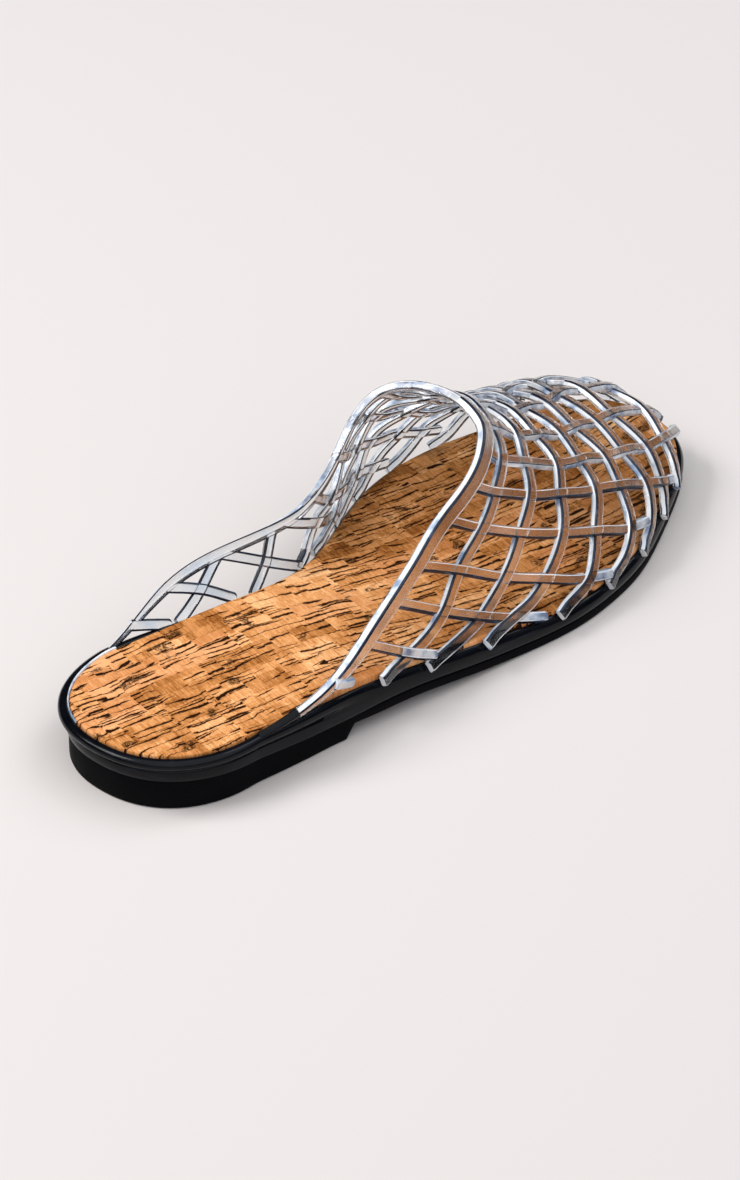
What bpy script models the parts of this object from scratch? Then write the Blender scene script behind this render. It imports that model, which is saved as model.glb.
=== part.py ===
"""Jelly mule, right shoe, standing empty on its sole.

Built up the way the shoe is made: a rubber outsole with a low heel, a glossy
tray-shaped midsole with a rolled lip round the heel, a cork insole let into the
tray, and a clear cage upper that is moulded whole (collar, hoops and bars in
one piece, open underneath).

All sizes below are in millimetres.  Stations run along the shoe as a fraction
of its length, 0 at the back of the heel and 1 at the tip of the toe.  "outer"
is the little-toe side (-Y), "inner" the arch side (+Y).
"""
import bpy
import bmesh
import numpy as np
from mathutils import Vector

MM = 0.001
GAP = 0.3                      # clearance between neighbouring pieces

# ------------------------------------------------------------ driving sizes
LENGTH = 255.0                 # outsole, heel to toe
TOE_SWING = 4.6                # the toe turns this far to the arch side
TOE_SPRING = 5.8               # rise of the tip of the toe off the floor
SPRING_FROM = 0.71             # the forefoot is flat up to this station

HEEL_TOP = 10.3                # outsole with heel, at the back
WAIST_UNDER = 4.5              # underside just ahead of the heel breast
BREAST = 0.272                 # station of the front of the heel
BREAST_LEAN = 0.012            # how far that front slopes, in stations
WAIST_FROM = 0.34              # the arch comes down from here ...
WAIST_ENDS = 0.575             # ... and is back on the floor here
SOLE_EDGE = 3.4                # thickness of the outsole ahead of the heel
HEEL_INSET = 1.6               # the heel wall stands in from the outline

LIP_HEEL = 18.4                # top of the midsole lip at the heel
LIP_BALL = 9.0                 # top of the midsole at the ball
CORK_HEEL = 18.9               # top of the cork at the heel
CORK_BALL = 9.3                # top of the cork at the ball
CORK_THICK = 3.4
HEEL_SEAT_ENDS = 0.24          # the foot bed slopes down from here ...
BALL_STARTS = 0.64             # ... to here

WALL = 2.4                     # thickness of the moulded upper
BASE_INSET = 0.8               # wall line stands in from the outline
COLLAR_WIDE = 5.2
HOOP_WIDE = 4.0
BAR_WIDE = 3.6
NUB = 4.5                      # how far a bar runs on past its last hoop
STEP = 7.0                     # facet length along hoops and bars

STATIONS = 48                  # sections used for the sole pieces

# outline of the sole: half widths either side of the centre line
OUTLINE = (  # station, outer, inner
    (0.14, 33.5, 31.8),
    (0.22, 36.2, 28.3),
    (0.30, 37.9, 25.6),
    (0.38, 40.3, 24.1),
    (0.46, 43.1, 27.4),
    (0.54, 45.3, 36.2),
    (0.62, 48.0, 44.6),
    (0.70, 47.4, 48.0),
    (0.78, 43.5, 45.7),
    (0.85, 36.8, 39.7),
)
HEEL_ROUND = 2.2               # superellipse powers of the two ends
TOE_ROUND_OUTER = 2.0
TOE_ROUND_INNER = 2.06

# sections of the last: each is a wall curve on either side that leaves the
# sole edge at a lean (degrees inward of upright) and levels out at the crest
LAST = (  # station, crest_y, crest_z, outer lean, inner lean, outer fullness, inner fullness
    (0.12, 3.5, 90.5, -42.0, -18.0, 0.49, 0.51),
    (0.26, 6.5, 87.5, -9.0, -41.0, 0.47, 0.55),
    (0.40, 9.0, 83.5, 33.0, -25.0, 0.44, 0.58),
    (0.52, 9.0, 78.0, 43.0, 4.0, 0.43, 0.59),
    (0.62, 5.5, 63.5, 28.0, -3.0, 0.44, 0.59),
    (0.73, 3.0, 46.0, 12.0, -3.0, 0.45, 0.55),
    (0.84, 6.5, 38.5, 2.0, -2.0, 0.45, 0.52),
    (0.96, 11.5, 31.0, -5.0, -1.0, 0.45, 0.53),
)
TOE_FROM = 0.84                # the crest rounds down to the toe from here
TOE_TIP = 0.994
TOE_FALL = 1.5                 # power of that rounding

# hoops: station of each hoop's middle line at set shares of the way from the
# crest (0) down to the sole edge (1); hoop 0 is the collar
HOOP_SHARE = (0.0, 0.22, 0.40, 0.57, 0.72, 0.84, 0.93, 1.0)
HOOPS_OUTER = (
    (0.632, 0.621, 0.590, 0.541, 0.452, 0.331, 0.245, 0.140),
    (0.652, 0.637, 0.612, 0.579, 0.533, 0.474, 0.412, 0.330),
    (0.684, 0.669, 0.649, 0.622, 0.589, 0.551, 0.503, 0.410),
    (0.721, 0.711, 0.697, 0.672, 0.644, 0.613, 0.570, 0.490),
    (0.758, 0.752, 0.748, 0.732, 0.706, 0.681, 0.655, 0.600),
    (0.794, 0.790, 0.790, 0.786, 0.772, 0.755, 0.732, 0.690),
    (0.830, 0.827, 0.830, 0.832, 0.828, 0.817, 0.802, 0.772),
    (0.874, 0.874, 0.876, 0.876, 0.874, 0.870, 0.862, 0.846),
    (0.930, 0.928, 0.925, 0.920, 0.916, 0.913, 0.909, 0.902),
)
HOOPS_INNER = (
    (0.632, 0.617, 0.595, 0.566, 0.527, 0.458, 0.235, 0.145),
    (0.652, 0.656, 0.634, 0.605, 0.573, 0.536, 0.480, 0.450),
    (0.684, 0.694, 0.677, 0.645, 0.615, 0.585, 0.552, 0.490),
    (0.721, 0.732, 0.721, 0.695, 0.664, 0.636, 0.609, 0.560),
    (0.758, 0.767, 0.768, 0.746, 0.720, 0.694, 0.668, 0.625),
    (0.794, 0.802, 0.804, 0.795, 0.777, 0.757, 0.737, 0.702),
    (0.830, 0.836, 0.842, 0.842, 0.830, 0.814, 0.800, 0.776),
    (0.874, 0.876, 0.881, 0.886, 0.883, 0.877, 0.868, 0.850),
    (0.930, 0.930, 0.927, 0.924, 0.920, 0.916, 0.911, 0.902),
)
# bars: share of the way down at which each bar crosses the collar and the
# hoops in turn; a bar ends in a nub just past its last crossing
BARS_OUTER = (
    (0.928,),
    (0.866, 0.950),
    (0.799, 0.885, 0.930),
    (0.741, 0.799, 0.842, 0.869, 0.915),
    (0.645, 0.683, 0.702, 0.712, 0.740, 0.812),
    (0.535, 0.556, 0.555, 0.548, 0.552, 0.606, 0.695, 0.810),
    (0.385, 0.408, 0.410, 0.398, 0.400, 0.433, 0.490, 0.550, 0.610),
    (0.215, 0.240, 0.240, 0.228, 0.224, 0.236, 0.262, 0.284, 0.310),
)
MIDDLE_BAR = (0.0,) * 9
BARS_INNER = (
    (0.963,),
    (0.924, 0.959),
    (0.885, 0.949),
    (0.857, 0.932),
    (0.815, 0.868, 0.890, 0.905, 0.930),
    (0.715, 0.748, 0.768, 0.780, 0.800, 0.840),
    (0.580, 0.595, 0.600, 0.603, 0.620, 0.672, 0.743, 0.820),
    (0.394, 0.388, 0.393, 0.403, 0.420, 0.460, 0.511, 0.561, 0.612),
    (0.208, 0.212, 0.205, 0.205, 0.212, 0.240, 0.264, 0.292, 0.315),
)
# short hoops low on the inner side: each leaves the collar, crosses the second
# time that its bar is crossed, and stands on the sole
SIDE_HOOPS = (  # row of BARS_INNER, station at the collar, at the bar, at the sole
    (1, 0.3235, 0.287, 0.244),
    (2, 0.400, 0.386, 0.356),
)


# ------------------------------------------------------------------ curves
def spline(xs, ys):
    """Natural cubic spline through the rows of a table."""
    x, y = np.asarray(xs, float), np.asarray(ys, float)
    n, h = len(x), np.diff(x)
    rows, rhs = np.eye(n), np.zeros(n)
    for i in range(1, n - 1):
        rows[i, i - 1:i + 2] = h[i - 1], 2 * (h[i - 1] + h[i]), h[i]
        rhs[i] = 6 * ((y[i + 1] - y[i]) / h[i] - (y[i] - y[i - 1]) / h[i - 1])
    bend = np.linalg.solve(rows, rhs)

    def at(t):
        k = int(np.clip(np.searchsorted(x, t) - 1, 0, n - 2))
        a, b = x[k + 1] - t, t - x[k]
        return ((bend[k] * a ** 3 + bend[k + 1] * b ** 3) / (6 * h[k])
                + (y[k] / h[k] - bend[k] * h[k] / 6) * a
                + (y[k + 1] / h[k] - bend[k + 1] * h[k] / 6) * b)
    return at


def steady(xs, ys):
    """Cubic through the rows that never swings past them."""
    x, y = np.asarray(xs, float), np.asarray(ys, float)
    h, d = np.diff(x), np.diff(y) / np.diff(x)
    m = np.concatenate([[d[0]], (d[:-1] + d[1:]) / 2, [d[-1]]])
    for k in range(1, len(x) - 1):
        if d[k - 1] * d[k] <= 0:
            m[k] = 0.0
        else:
            m[k] = 3 * (h[k - 1] + h[k]) / ((2 * h[k] + h[k - 1]) / d[k - 1] + (h[k] + 2 * h[k - 1]) / d[k])

    def at(t):
        k = int(np.clip(np.searchsorted(x, t) - 1, 0, len(x) - 2))
        u = (t - x[k]) / h[k]
        return (y[k] * (1 + 2 * u) * (1 - u) ** 2 + h[k] * m[k] * u * (1 - u) ** 2
                + y[k + 1] * u * u * (3 - 2 * u) + h[k] * m[k + 1] * u * u * (u - 1))
    return at


def ease(t):
    t = min(max(t, 0.0), 1.0)
    return t * t * (3 - 2 * t)


# ------------------------------------------------------- shape of the sole
S_HEEL, S_TOE = OUTLINE[0][0], OUTLINE[-1][0]
outer_half = spline([r[0] for r in OUTLINE], [r[1] for r in OUTLINE])
inner_half = spline([r[0] for r in OUTLINE], [r[2] for r in OUTLINE])


def half_width(s, half, toe_round):
    if s < S_HEEL:
        a = (S_HEEL - s) / S_HEEL
        return half(S_HEEL) * max(1 - a ** HEEL_ROUND, 0.0) ** (1 / HEEL_ROUND)
    if s > S_TOE:
        b = min((s - S_TOE) / (1 - S_TOE), 1.0)
        slope = (half(S_TOE) - half(S_TOE - 0.01)) / 0.01
        base = half(S_TOE) + slope * (s - S_TOE) * (1 - b)
        return base * max(1 - b ** toe_round, 0.0) ** (1 / toe_round)
    return half(s)


def centre(s):
    return TOE_SWING * min(max((s - 0.5) / 0.5, 0.0), 1.0) ** 2


def outer_edge(s):
    return centre(s) - half_width(s, outer_half, TOE_ROUND_OUTER)


def inner_edge(s):
    return centre(s) + half_width(s, inner_half, TOE_ROUND_INNER)


def spring(s):
    return TOE_SPRING * max((s - SPRING_FROM) / (1 - SPRING_FROM), 0.0) ** 2


def foot_bed(s, heel, ball):
    t = ease((s - HEEL_SEAT_ENDS) / (BALL_STARTS - HEEL_SEAT_ENDS))
    return heel + (ball - heel) * t + spring(s)


def waist_under(s):
    return WAIST_UNDER * (1 - ease((s - WAIST_FROM) / (WAIST_ENDS - WAIST_FROM))) + spring(s)


def under(s):
    """Underside of the outsole: heel on the floor, breast, arch, forefoot, spring."""
    return waist_under(s) * min(max((s - BREAST) / BREAST_LEAN, 0.0), 1.0)


def sole_top(s):
    return waist_under(s) + SOLE_EDGE + (HEEL_TOP - WAIST_UNDER - SOLE_EDGE) * (1 - ease(s / BREAST))


def lip_top(s):
    return foot_bed(s, LIP_HEEL, LIP_BALL)


def cork_top(s):
    return foot_bed(s, CORK_HEEL, CORK_BALL)


def fore(s):
    """0 in the heel, 1 from the waist on."""
    return ease((s - 0.17) / 0.15)


def mixed(s, heel, ball):
    return heel + (ball - heel) * fore(s)


# stations, closer together at the round ends and at the heel breast
def station_list():
    even = [(1 - np.cos(np.pi * k / STATIONS)) / 2 for k in range(STATIONS + 1)]
    even = [s for s in even if abs(s - BREAST - BREAST_LEAN / 2) > 0.02]
    return sorted(even + [BREAST - 0.012, BREAST, BREAST + BREAST_LEAN, BREAST + 0.030])


ALL_STATIONS = station_list()


def ring(inset, height):
    """Closed loop round the sole, inset from the outline at each station."""
    sides = []
    for edge in (outer_edge, inner_edge):
        sides.append([np.array([s * LENGTH, edge(s)]) for s in ALL_STATIONS])
    # one run: outer side heel to toe, then inner side back again
    flat = sides[0] + sides[1][-2:0:-1]
    along = ALL_STATIONS + ALL_STATIONS[-2:0:-1]
    n, loop = len(flat), []
    for k in range(n):
        t = flat[(k + 1) % n] - flat[k - 1]
        t = t / np.linalg.norm(t)
        out = np.array([t[1], -t[0]])
        p = flat[k] - out * inset(along[k])
        loop.append((p[0], p[1], height(along[k])))
    return loop


def solid_of_rings(name, rings, material):
    """Skin a stack of rings and close both ends across the shoe."""
    mesh = bpy.data.meshes.new(name)
    bm = bmesh.new()
    rows = [[bm.verts.new(Vector(p) * MM) for p in r] for r in rings]
    n, last = len(rows[0]), len(ALL_STATIONS) - 1
    for low, high in zip(rows, rows[1:]):
        for k in range(n):
            bm.faces.new((low[k], low[(k + 1) % n], high[(k + 1) % n], high[k]))
    for row in (rows[0], rows[-1]):
        for k in range(last):
            a, b, c, d = row[k], row[k + 1], row[(n - k - 1) % n], row[(n - k) % n]
            corners = list(dict.fromkeys((a, b, c, d)))
            bm.faces.new(corners)
    bmesh.ops.recalc_face_normals(bm, faces=bm.faces)
    bm.to_mesh(mesh)
    bm.free()
    return finish(name, mesh, material)


def finish(name, mesh, material):
    mesh.materials.append(material)
    piece = bpy.data.objects.new(name, mesh)
    SHOE.objects.link(piece)
    return piece


def principled(name, colour, roughness, transmission=0.0):
    material = bpy.data.materials.new(name)
    material.use_nodes = True
    shader = material.node_tree.nodes["Principled BSDF"]
    shader.inputs["Base Color"].default_value = (*colour, 1.0)
    shader.inputs["Roughness"].default_value = roughness
    shader.inputs["Metallic"].default_value = 0.0
    shader.inputs["Transmission Weight"].default_value = transmission
    return material


# ------------------------------------------------------- shape of the last
L_AT = [r[0] for r in LAST]
crest_y, crest_z, lean_out, lean_in, full_out, full_in = (
    spline(L_AT, [r[c] for r in LAST]) for c in range(1, 7))
crest_slope = (crest_z(TOE_FROM) - crest_z(TOE_FROM - 0.01)) / 0.01


def wall_base(s):
    return cork_top(s) - 1.0


def crest_height(s):
    if s <= TOE_FROM:
        return crest_z(s)
    b = min((s - TOE_FROM) / (TOE_TIP - TOE_FROM), 1.0)
    rise = crest_z(TOE_FROM) + crest_slope * (s - TOE_FROM) * (1 - b) - wall_base(s)
    return wall_base(s) + rise * max(1 - b ** TOE_FALL, 0.0) ** (1 / TOE_FALL)


def last_point(s, f):
    """Point on the last; f runs from -1 at the outer edge by 0 at the crest to 1 at the inner edge."""
    s = min(max(s, 0.01), TOE_TIP)
    low, high = wall_base(s), crest_height(s)
    left, right = outer_edge(s) + BASE_INSET, inner_edge(s) - BASE_INSET
    top = min(max(crest_y(s), left + 0.3 * (right - left)), left + 0.8 * (right - left))
    edge, lean, full = (left, lean_out(s), full_out(s)) if f < 0 else (right, lean_in(s), full_in(s))
    rise, run, t = high - low, top - edge, 1 - abs(f)
    way = 1.0 if run > 0 else -1.0
    ys = (edge, edge + way * np.tan(np.radians(lean)) * full * rise, top - full * run, top)
    zs = (low, low + full * rise, high, high)
    w = ((1 - t) ** 3, 3 * (1 - t) ** 2 * t, 3 * (1 - t) * t * t, t ** 3)
    return np.array([s * LENGTH, sum(a * b for a, b in zip(w, ys)), sum(a * b for a, b in zip(w, zs))])


def last_normal(s, f):
    e = 0.004
    lo, hi = max(f - e, -1.0), min(f + e, 1.0)
    across = last_point(s, hi) - last_point(s, lo)
    along = last_point(s + e, f) - last_point(s - e, f)
    n = np.cross(along, across)
    return n / np.linalg.norm(n)


hoop_outer = [steady(HOOP_SHARE, row) for row in HOOPS_OUTER]
hoop_inner = [steady(HOOP_SHARE, row) for row in HOOPS_INNER]


def hoop_station(i, f):
    return (hoop_outer if f < 0 else hoop_inner)[i](abs(f))


# bars in order from the outer sole edge over the crest to the inner edge
BARS = ([tuple(-v for v in row) for row in BARS_OUTER] + [MIDDLE_BAR]
        + [row for row in reversed(BARS_INNER)])


def collar_share(s):
    """Share at which the inner side of the collar passes a station."""
    lo, hi = 0.3, 1.0
    for _ in range(40):
        mid = (lo + hi) / 2
        lo, hi = (mid, hi) if hoop_station(0, mid) > s else (lo, mid)
    return lo


# side hoops by the number of the bar that each crosses
SIDE = {}
for row, at_collar, at_bar, at_sole in SIDE_HOOPS:
    SIDE[len(BARS) - 1 - row] = steady(
        (collar_share(at_collar), BARS_INNER[row][1], 1.0), (at_collar, at_bar, at_sole))


def standing(s, n):
    """Lowest height for the middle of a wall that faces along n."""
    return cork_top(min(max(s, 0.0), 1.0)) + GAP + 0.05 + WALL / 2 * abs(n[2])


def clear_of_lip(p, n):
    """Keep the lower edges of the cage standing just over the midsole lip."""
    return np.array([p[0], p[1], max(p[2], standing(p[0] / LENGTH, n))])


class Cage:
    """Open lattice of ribbons lying on the last, one sheet joined where they cross."""

    def __init__(self):
        self.points, self.faces = [], []

    def add(self, p, n):
        self.points.append(clear_of_lip(p, n))
        return len(self.points) - 1

    def ribbon(self, start, stop, path, width, dense=STEP):
        """Quads from one pair of corners to another along path(t) -> (station, share)."""
        a = last_point(*path(0.0))
        b = last_point(*path(1.0))
        count = max(1, int(round(np.linalg.norm(b - a) / dense)))
        pair = start
        for k in range(1, count):
            t = k / count
            here = self.cross(path, t, width(t))
            self.faces.append((pair[0], here[0], here[1], pair[1]))
            pair = here
        if stop is None:
            stop = self.cross(path, 1.0, width(1.0))
        self.faces.append((pair[0], stop[0], stop[1], pair[1]))

    def cross(self, path, t, width):
        e = 0.01
        sf = path(t)
        ahead = last_point(*path(min(t + e, 1.0))) - last_point(*path(max(t - e, 0.0)))
        ahead = ahead / np.linalg.norm(ahead)
        n = last_normal(*sf)
        side = np.cross(n, ahead)
        side = side / np.linalg.norm(side)
        p = last_point(*sf)
        return self.add(p - side * width / 2, n), self.add(p + side * width / 2, n)


def hoop_width(i):
    return COLLAR_WIDE if i == 0 else HOOP_WIDE


def build_cage():
    cage, knots, leads = Cage(), {}, {}
    place = {(i, j): (hoop_station(i, f), f) for j, row in enumerate(BARS) for i, f in enumerate(row)}
    for row, at_collar, at_bar, at_sole in SIDE_HOOPS:
        j = len(BARS) - 1 - row
        place[1, j] = (at_bar, BARS[j][1])
        # it leaves the collar just on the crest side of the bar that it crosses
        place[0, j - 0.5] = (at_collar, collar_share(at_collar))
        leads[0, j - 0.5] = place[1, j]
    # a four-cornered patch where each bar crosses each hoop
    for (i, j), (s, f) in place.items():
        p, n = last_point(s, f), last_normal(s, f)
        e = 0.01
        line = SIDE[j] if i == 1 and j in SIDE else lambda g, i=i: hoop_station(i, g)
        a = last_point(line(f + e), f + e) - last_point(line(f - e), f - e)
        ahead = place.get((i + 1, j)) or leads.get((i, j))
        behind = place.get((i - 1, j))
        b = (last_point(*ahead) if ahead else p) - (last_point(*behind) if behind else p)
        if not ahead and not behind:
            b = np.array([1.0, -0.25 if f < 0 else 0.25, -0.45])
        a, b = (v - n * np.dot(v, n) for v in (a, b))
        a, b = a / np.linalg.norm(a), b / np.linalg.norm(b)
        angle = max(np.linalg.norm(np.cross(a, b)), 0.45)
        da, db = a * BAR_WIDE / 2 / angle, b * hoop_width(i) / 2 / angle
        knots[i, j] = {(u, v): cage.add(p + u * da + v * db, n) for u in (-1, 1) for v in (-1, 1)}
        c = knots[i, j]
        cage.faces.append((c[-1, -1], c[1, -1], c[1, 1], c[-1, 1]))
        knots[i, j]["ahead"] = b
    # along the hoops, with their feet
    for i in range(len(HOOPS_OUTER)):
        run = sorted(j for (h, j) in place if h == i and not (h == 1 and j in SIDE))
        wide = lambda t, i=i: hoop_width(i)
        for j, k in zip(run, run[1:]):
            f0, f1 = place[i, j][1], place[i, k][1]
            path = lambda t, f0=f0, f1=f1, i=i: (hoop_station(i, f0 + (f1 - f0) * t), f0 + (f1 - f0) * t)
            c, d = knots[i, j], knots[i, k]
            cage.ribbon((c[1, 1], c[1, -1]), (d[-1, 1], d[-1, -1]), path, wide)
        for j, end in ((run[0], -1.0), (run[-1], 1.0)):
            f0 = place[i, j][1]
            stop = foot_share(lambda g, i=i: hoop_station(i, g), f0, end)
            path = lambda t, f0=f0, f1=stop, i=i: (hoop_station(i, f0 + (f1 - f0) * t), f0 + (f1 - f0) * t)
            narrow = (lambda t: COLLAR_WIDE + (2.2 - COLLAR_WIDE) * t) if i == 0 else wide
            c = knots[i, j]
            u = -1 if end < 0 else 1
            # a ribbon's sides keep their order by the way it runs
            start = (c[u, -1], c[u, 1]) if end < 0 else (c[u, 1], c[u, -1])
            cage.ribbon(start, None, path, narrow)
    # the side hoops, from the collar over their bar to the sole
    for j, line in SIDE.items():
        top, mid = place[0, j - 0.5][1], place[1, j][1]
        c, d = knots[0, j - 0.5], knots[1, j]
        path = lambda t, f0=top, f1=mid, line=line: (line(f0 + (f1 - f0) * t), f0 + (f1 - f0) * t)
        cage.ribbon((c[-1, 1], c[1, 1]), (d[-1, 1], d[-1, -1]), path, lambda t: HOOP_WIDE)
        low = foot_share(line, mid, 1.0)
        path = lambda t, f0=mid, f1=low, line=line: (line(f0 + (f1 - f0) * t), f0 + (f1 - f0) * t)
        cage.ribbon((d[1, 1], d[1, -1]), None, path, lambda t: HOOP_WIDE)
    # along the bars, with their nubs
    for j, row in enumerate(BARS):
        count = len(row)
        for i in range(count - 1):
            p0, p1 = place[i, j], place[i + 1, j]
            path = lambda t, p0=p0, p1=p1: (p0[0] + (p1[0] - p0[0]) * t, p0[1] + (p1[1] - p0[1]) * t)
            c, d = knots[i, j], knots[i + 1, j]
            cage.ribbon((c[-1, 1], c[1, 1]), (d[-1, -1], d[1, -1]), path, lambda t: BAR_WIDE)
        c = knots[count - 1, j]
        s, f = place[count - 1, j]
        if count == len(HOOPS_OUTER):
            # the middle bars run on down the front of the toe to the sole
            path = lambda t, s=s, f=f: (s + (0.9905 - s) * t, f * (1 + 0.12 * t))
            cage.ribbon((c[-1, 1], c[1, 1]), None, path, lambda t: BAR_WIDE, STEP * 0.6)
        else:
            n, b = last_normal(s, f), c["ahead"]
            tip = [cage.add(cage.points[c[u, 1]] + b * NUB, n) for u in (1, -1)]
            cage.faces.append((c[1, 1], tip[0], tip[1], c[-1, 1]))
    return cage


def foot_share(line, start, end):
    """How far round its hoop a foot reaches before it stands on the lip."""
    lo, hi = abs(start), 1.0
    for _ in range(24):
        mid = (lo + hi) / 2
        f = mid * end
        p, n = last_point(line(f), f), last_normal(line(f), f)
        if p[2] > standing(p[0] / LENGTH, n):
            lo = mid
        else:
            hi = mid
    return lo * end


# ------------------------------------------------------------------ the build
for old in list(bpy.data.objects):
    bpy.data.objects.remove(old, do_unlink=True)
SHOE = bpy.data.collections.new("jelly_mule")
bpy.context.scene.collection.children.link(SHOE)

black_rubber = principled("outsole_rubber", (0.012, 0.012, 0.013), 0.62)
dark_gloss = principled("midsole_gloss", (0.010, 0.012, 0.016), 0.12)
cork = principled("insole_cork", (0.46, 0.22, 0.08), 0.75)
clear = principled("upper_clear", (0.86, 0.90, 0.95), 0.06, 0.95)


def sole_inset(s):
    return HEEL_INSET * (1 - ease((s - 0.24) / 0.10)) + 0.3


outsole = solid_of_rings("outsole", (
    ring(lambda s: sole_inset(s) + 0.9, under),
    ring(sole_inset, lambda s: under(s) + 0.9),
    ring(sole_inset, sole_top),
), black_rubber)

# the midsole from its underside up the side, over the lip and down into the tray
BAND = (  # heel inset, heel height over the band's foot, forefoot inset, forefoot share of band height
    (1.5, 0.00, 0.7, 0.00),
    (1.1, 0.06, 0.3, 0.08),
    (1.0, 0.46, 0.2, 0.55),
    (1.6, 0.53, 0.2, 0.70),
    (-0.3, 0.62, 0.3, 0.84),
    (-1.1, 0.80, 0.5, 0.94),
    (-0.2, 0.97, 0.9, 1.00),
    (1.2, 1.00, 1.7, 1.00),
    (2.2, 0.97, 2.4, 0.985),
)


def band_foot(s):
    return sole_top(s) + GAP


def cork_inset(s):
    return mixed(s, 2.5, 2.7)


def tray_floor(s):
    return cork_top(s) - CORK_THICK - GAP


rings = []
for heel_in, heel_up, ball_in, ball_up in BAND:
    rings.append(ring(
        lambda s, a=heel_in, b=ball_in: mixed(s, a, b),
        lambda s, a=heel_up, b=ball_up: band_foot(s) + (lip_top(s) - band_foot(s)) * mixed(s, a, b)))
rings.append(ring(lambda s: cork_inset(s) - GAP, tray_floor))
midsole = solid_of_rings("midsole", rings, dark_gloss)

insole = solid_of_rings("insole", (
    ring(cork_inset, lambda s: cork_top(s) - CORK_THICK),
    ring(cork_inset, lambda s: cork_top(s) - 0.5),
    ring(lambda s: cork_inset(s) + 0.5, cork_top),
), cork)

cage = build_cage()
sheet = bpy.data.meshes.new("upper")
sheet.from_pydata([Vector(p) * MM for p in cage.points], [], cage.faces)
bm = bmesh.new()
bm.from_mesh(sheet)
bmesh.ops.recalc_face_normals(bm, faces=bm.faces)
bm.to_mesh(sheet)
bm.free()
upper = finish("upper", sheet, clear)
shell = upper.modifiers.new("wall", "SOLIDIFY")
shell.thickness = WALL * MM
shell.offset = 0.0
shell.use_even_offset = True
shell.use_rim = True

# the shoe stands over its own middle, on the floor
bpy.context.view_layer.update()
corners = [piece.matrix_world @ Vector(c) for piece in SHOE.objects for c in piece.bound_box]
middle_x = (min(c.x for c in corners) + max(c.x for c in corners)) / 2
middle_y = (min(c.y for c in corners) + max(c.y for c in corners)) / 2
for piece in SHOE.objects:
    piece.location = (-middle_x, -middle_y, 0.0)
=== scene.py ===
"""Looks of the jelly mule (right shoe): clear woven cage, cork insole, glossy
midsole and matte outsole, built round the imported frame.

Sizes are in millimetres in the shoe's own frame (x from the back of the heel,
+Y to the arch side, z off the floor) and are moved into the frame at the end.
"""

import math

import bmesh
import bpy
import numpy as np
from mathutils import Matrix, Vector


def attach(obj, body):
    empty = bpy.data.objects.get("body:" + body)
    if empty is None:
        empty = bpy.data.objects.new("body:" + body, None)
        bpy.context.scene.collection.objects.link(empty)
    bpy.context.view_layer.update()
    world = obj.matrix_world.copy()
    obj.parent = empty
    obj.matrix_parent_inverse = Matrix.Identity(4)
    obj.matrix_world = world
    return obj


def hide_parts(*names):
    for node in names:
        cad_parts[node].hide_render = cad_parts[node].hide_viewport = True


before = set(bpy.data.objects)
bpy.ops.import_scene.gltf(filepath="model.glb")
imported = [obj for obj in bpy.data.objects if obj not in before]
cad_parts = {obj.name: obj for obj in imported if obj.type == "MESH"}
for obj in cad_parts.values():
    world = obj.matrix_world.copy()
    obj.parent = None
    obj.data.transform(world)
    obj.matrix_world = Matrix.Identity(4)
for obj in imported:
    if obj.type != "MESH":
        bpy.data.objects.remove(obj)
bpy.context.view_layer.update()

MM = 0.001
MIDDLE = np.array([126.85, 0.90, 0.0])     # the frame stands over the shoe's middle

# ------------------------------------------------------------ sizes of the shoe
LENGTH = 255.0
TOE_SWING, TOE_SPRING, SPRING_FROM = 4.6, 5.8, 0.71
HEEL_TOP, WAIST_UNDER, BREAST, BREAST_LEAN, WAIST_FROM, WAIST_ENDS = 10.3, 4.5, 0.272, 0.012, 0.34, 0.575
SOLE_EDGE, HEEL_INSET = 3.4, 1.6
LIP_HEEL, LIP_BALL, CORK_HEEL, CORK_BALL, CORK_THICK = 18.4, 9.0, 18.9, 9.3, 3.4
HEEL_SEAT_ENDS, BALL_STARTS = 0.24, 0.64
BASE_INSET = 0.8

WALL = 2.4                     # thickness of the clear strips
COLLAR_WIDE, HOOP_WIDE, BAR_WIDE = 6.2, 4.5, 4.1
TAPER = 0.75                   # each side draws in by this much from the inner to the outer face
CORNER = 0.75                  # rounding of the outer edges
WEAVE = 0.60                   # how far they rise and dip where they cross
NUB = 6.2                      # how far a bar runs on past its last hoop
NUBS = {0: 8.4, 1: 9.0, 2: 12.0, 3: 10.5, 4: 10.3, 5: 5.5}    # the same for the low bars of the outer side
STEP = 1.5                     # spacing of sections along the strips

OUTLINE = (  # station, outer half width, inner half width
    (0.14, 33.5, 31.8), (0.22, 36.2, 28.3), (0.30, 37.9, 25.6), (0.38, 40.3, 24.1),
    (0.46, 43.1, 27.4), (0.54, 45.3, 36.2), (0.62, 48.0, 44.6), (0.70, 47.4, 48.0),
    (0.78, 43.5, 45.7), (0.85, 36.8, 39.7),
)
HEEL_ROUND, TOE_ROUND_OUTER, TOE_ROUND_INNER = 2.2, 2.0, 2.06
LAST = (  # station, crest_y, crest_z, outer lean, inner lean, outer fullness, inner fullness
    (0.12, 3.5, 90.5, -42.0, -18.0, 0.49, 0.51),
    (0.26, 6.5, 87.5, -9.0, -41.0, 0.47, 0.55),
    (0.40, 9.0, 83.5, 33.0, -25.0, 0.44, 0.58),
    (0.52, 9.0, 78.0, 43.0, 4.0, 0.43, 0.59),
    (0.62, 5.5, 63.5, 28.0, -3.0, 0.44, 0.59),
    (0.73, 3.0, 46.0, 12.0, -3.0, 0.45, 0.55),
    (0.84, 6.5, 38.5, 2.0, -2.0, 0.45, 0.52),
    (0.96, 11.5, 31.0, -5.0, -1.0, 0.45, 0.53),
)
TOE_FROM, TOE_TIP, TOE_FALL = 0.84, 0.994, 1.5
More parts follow.
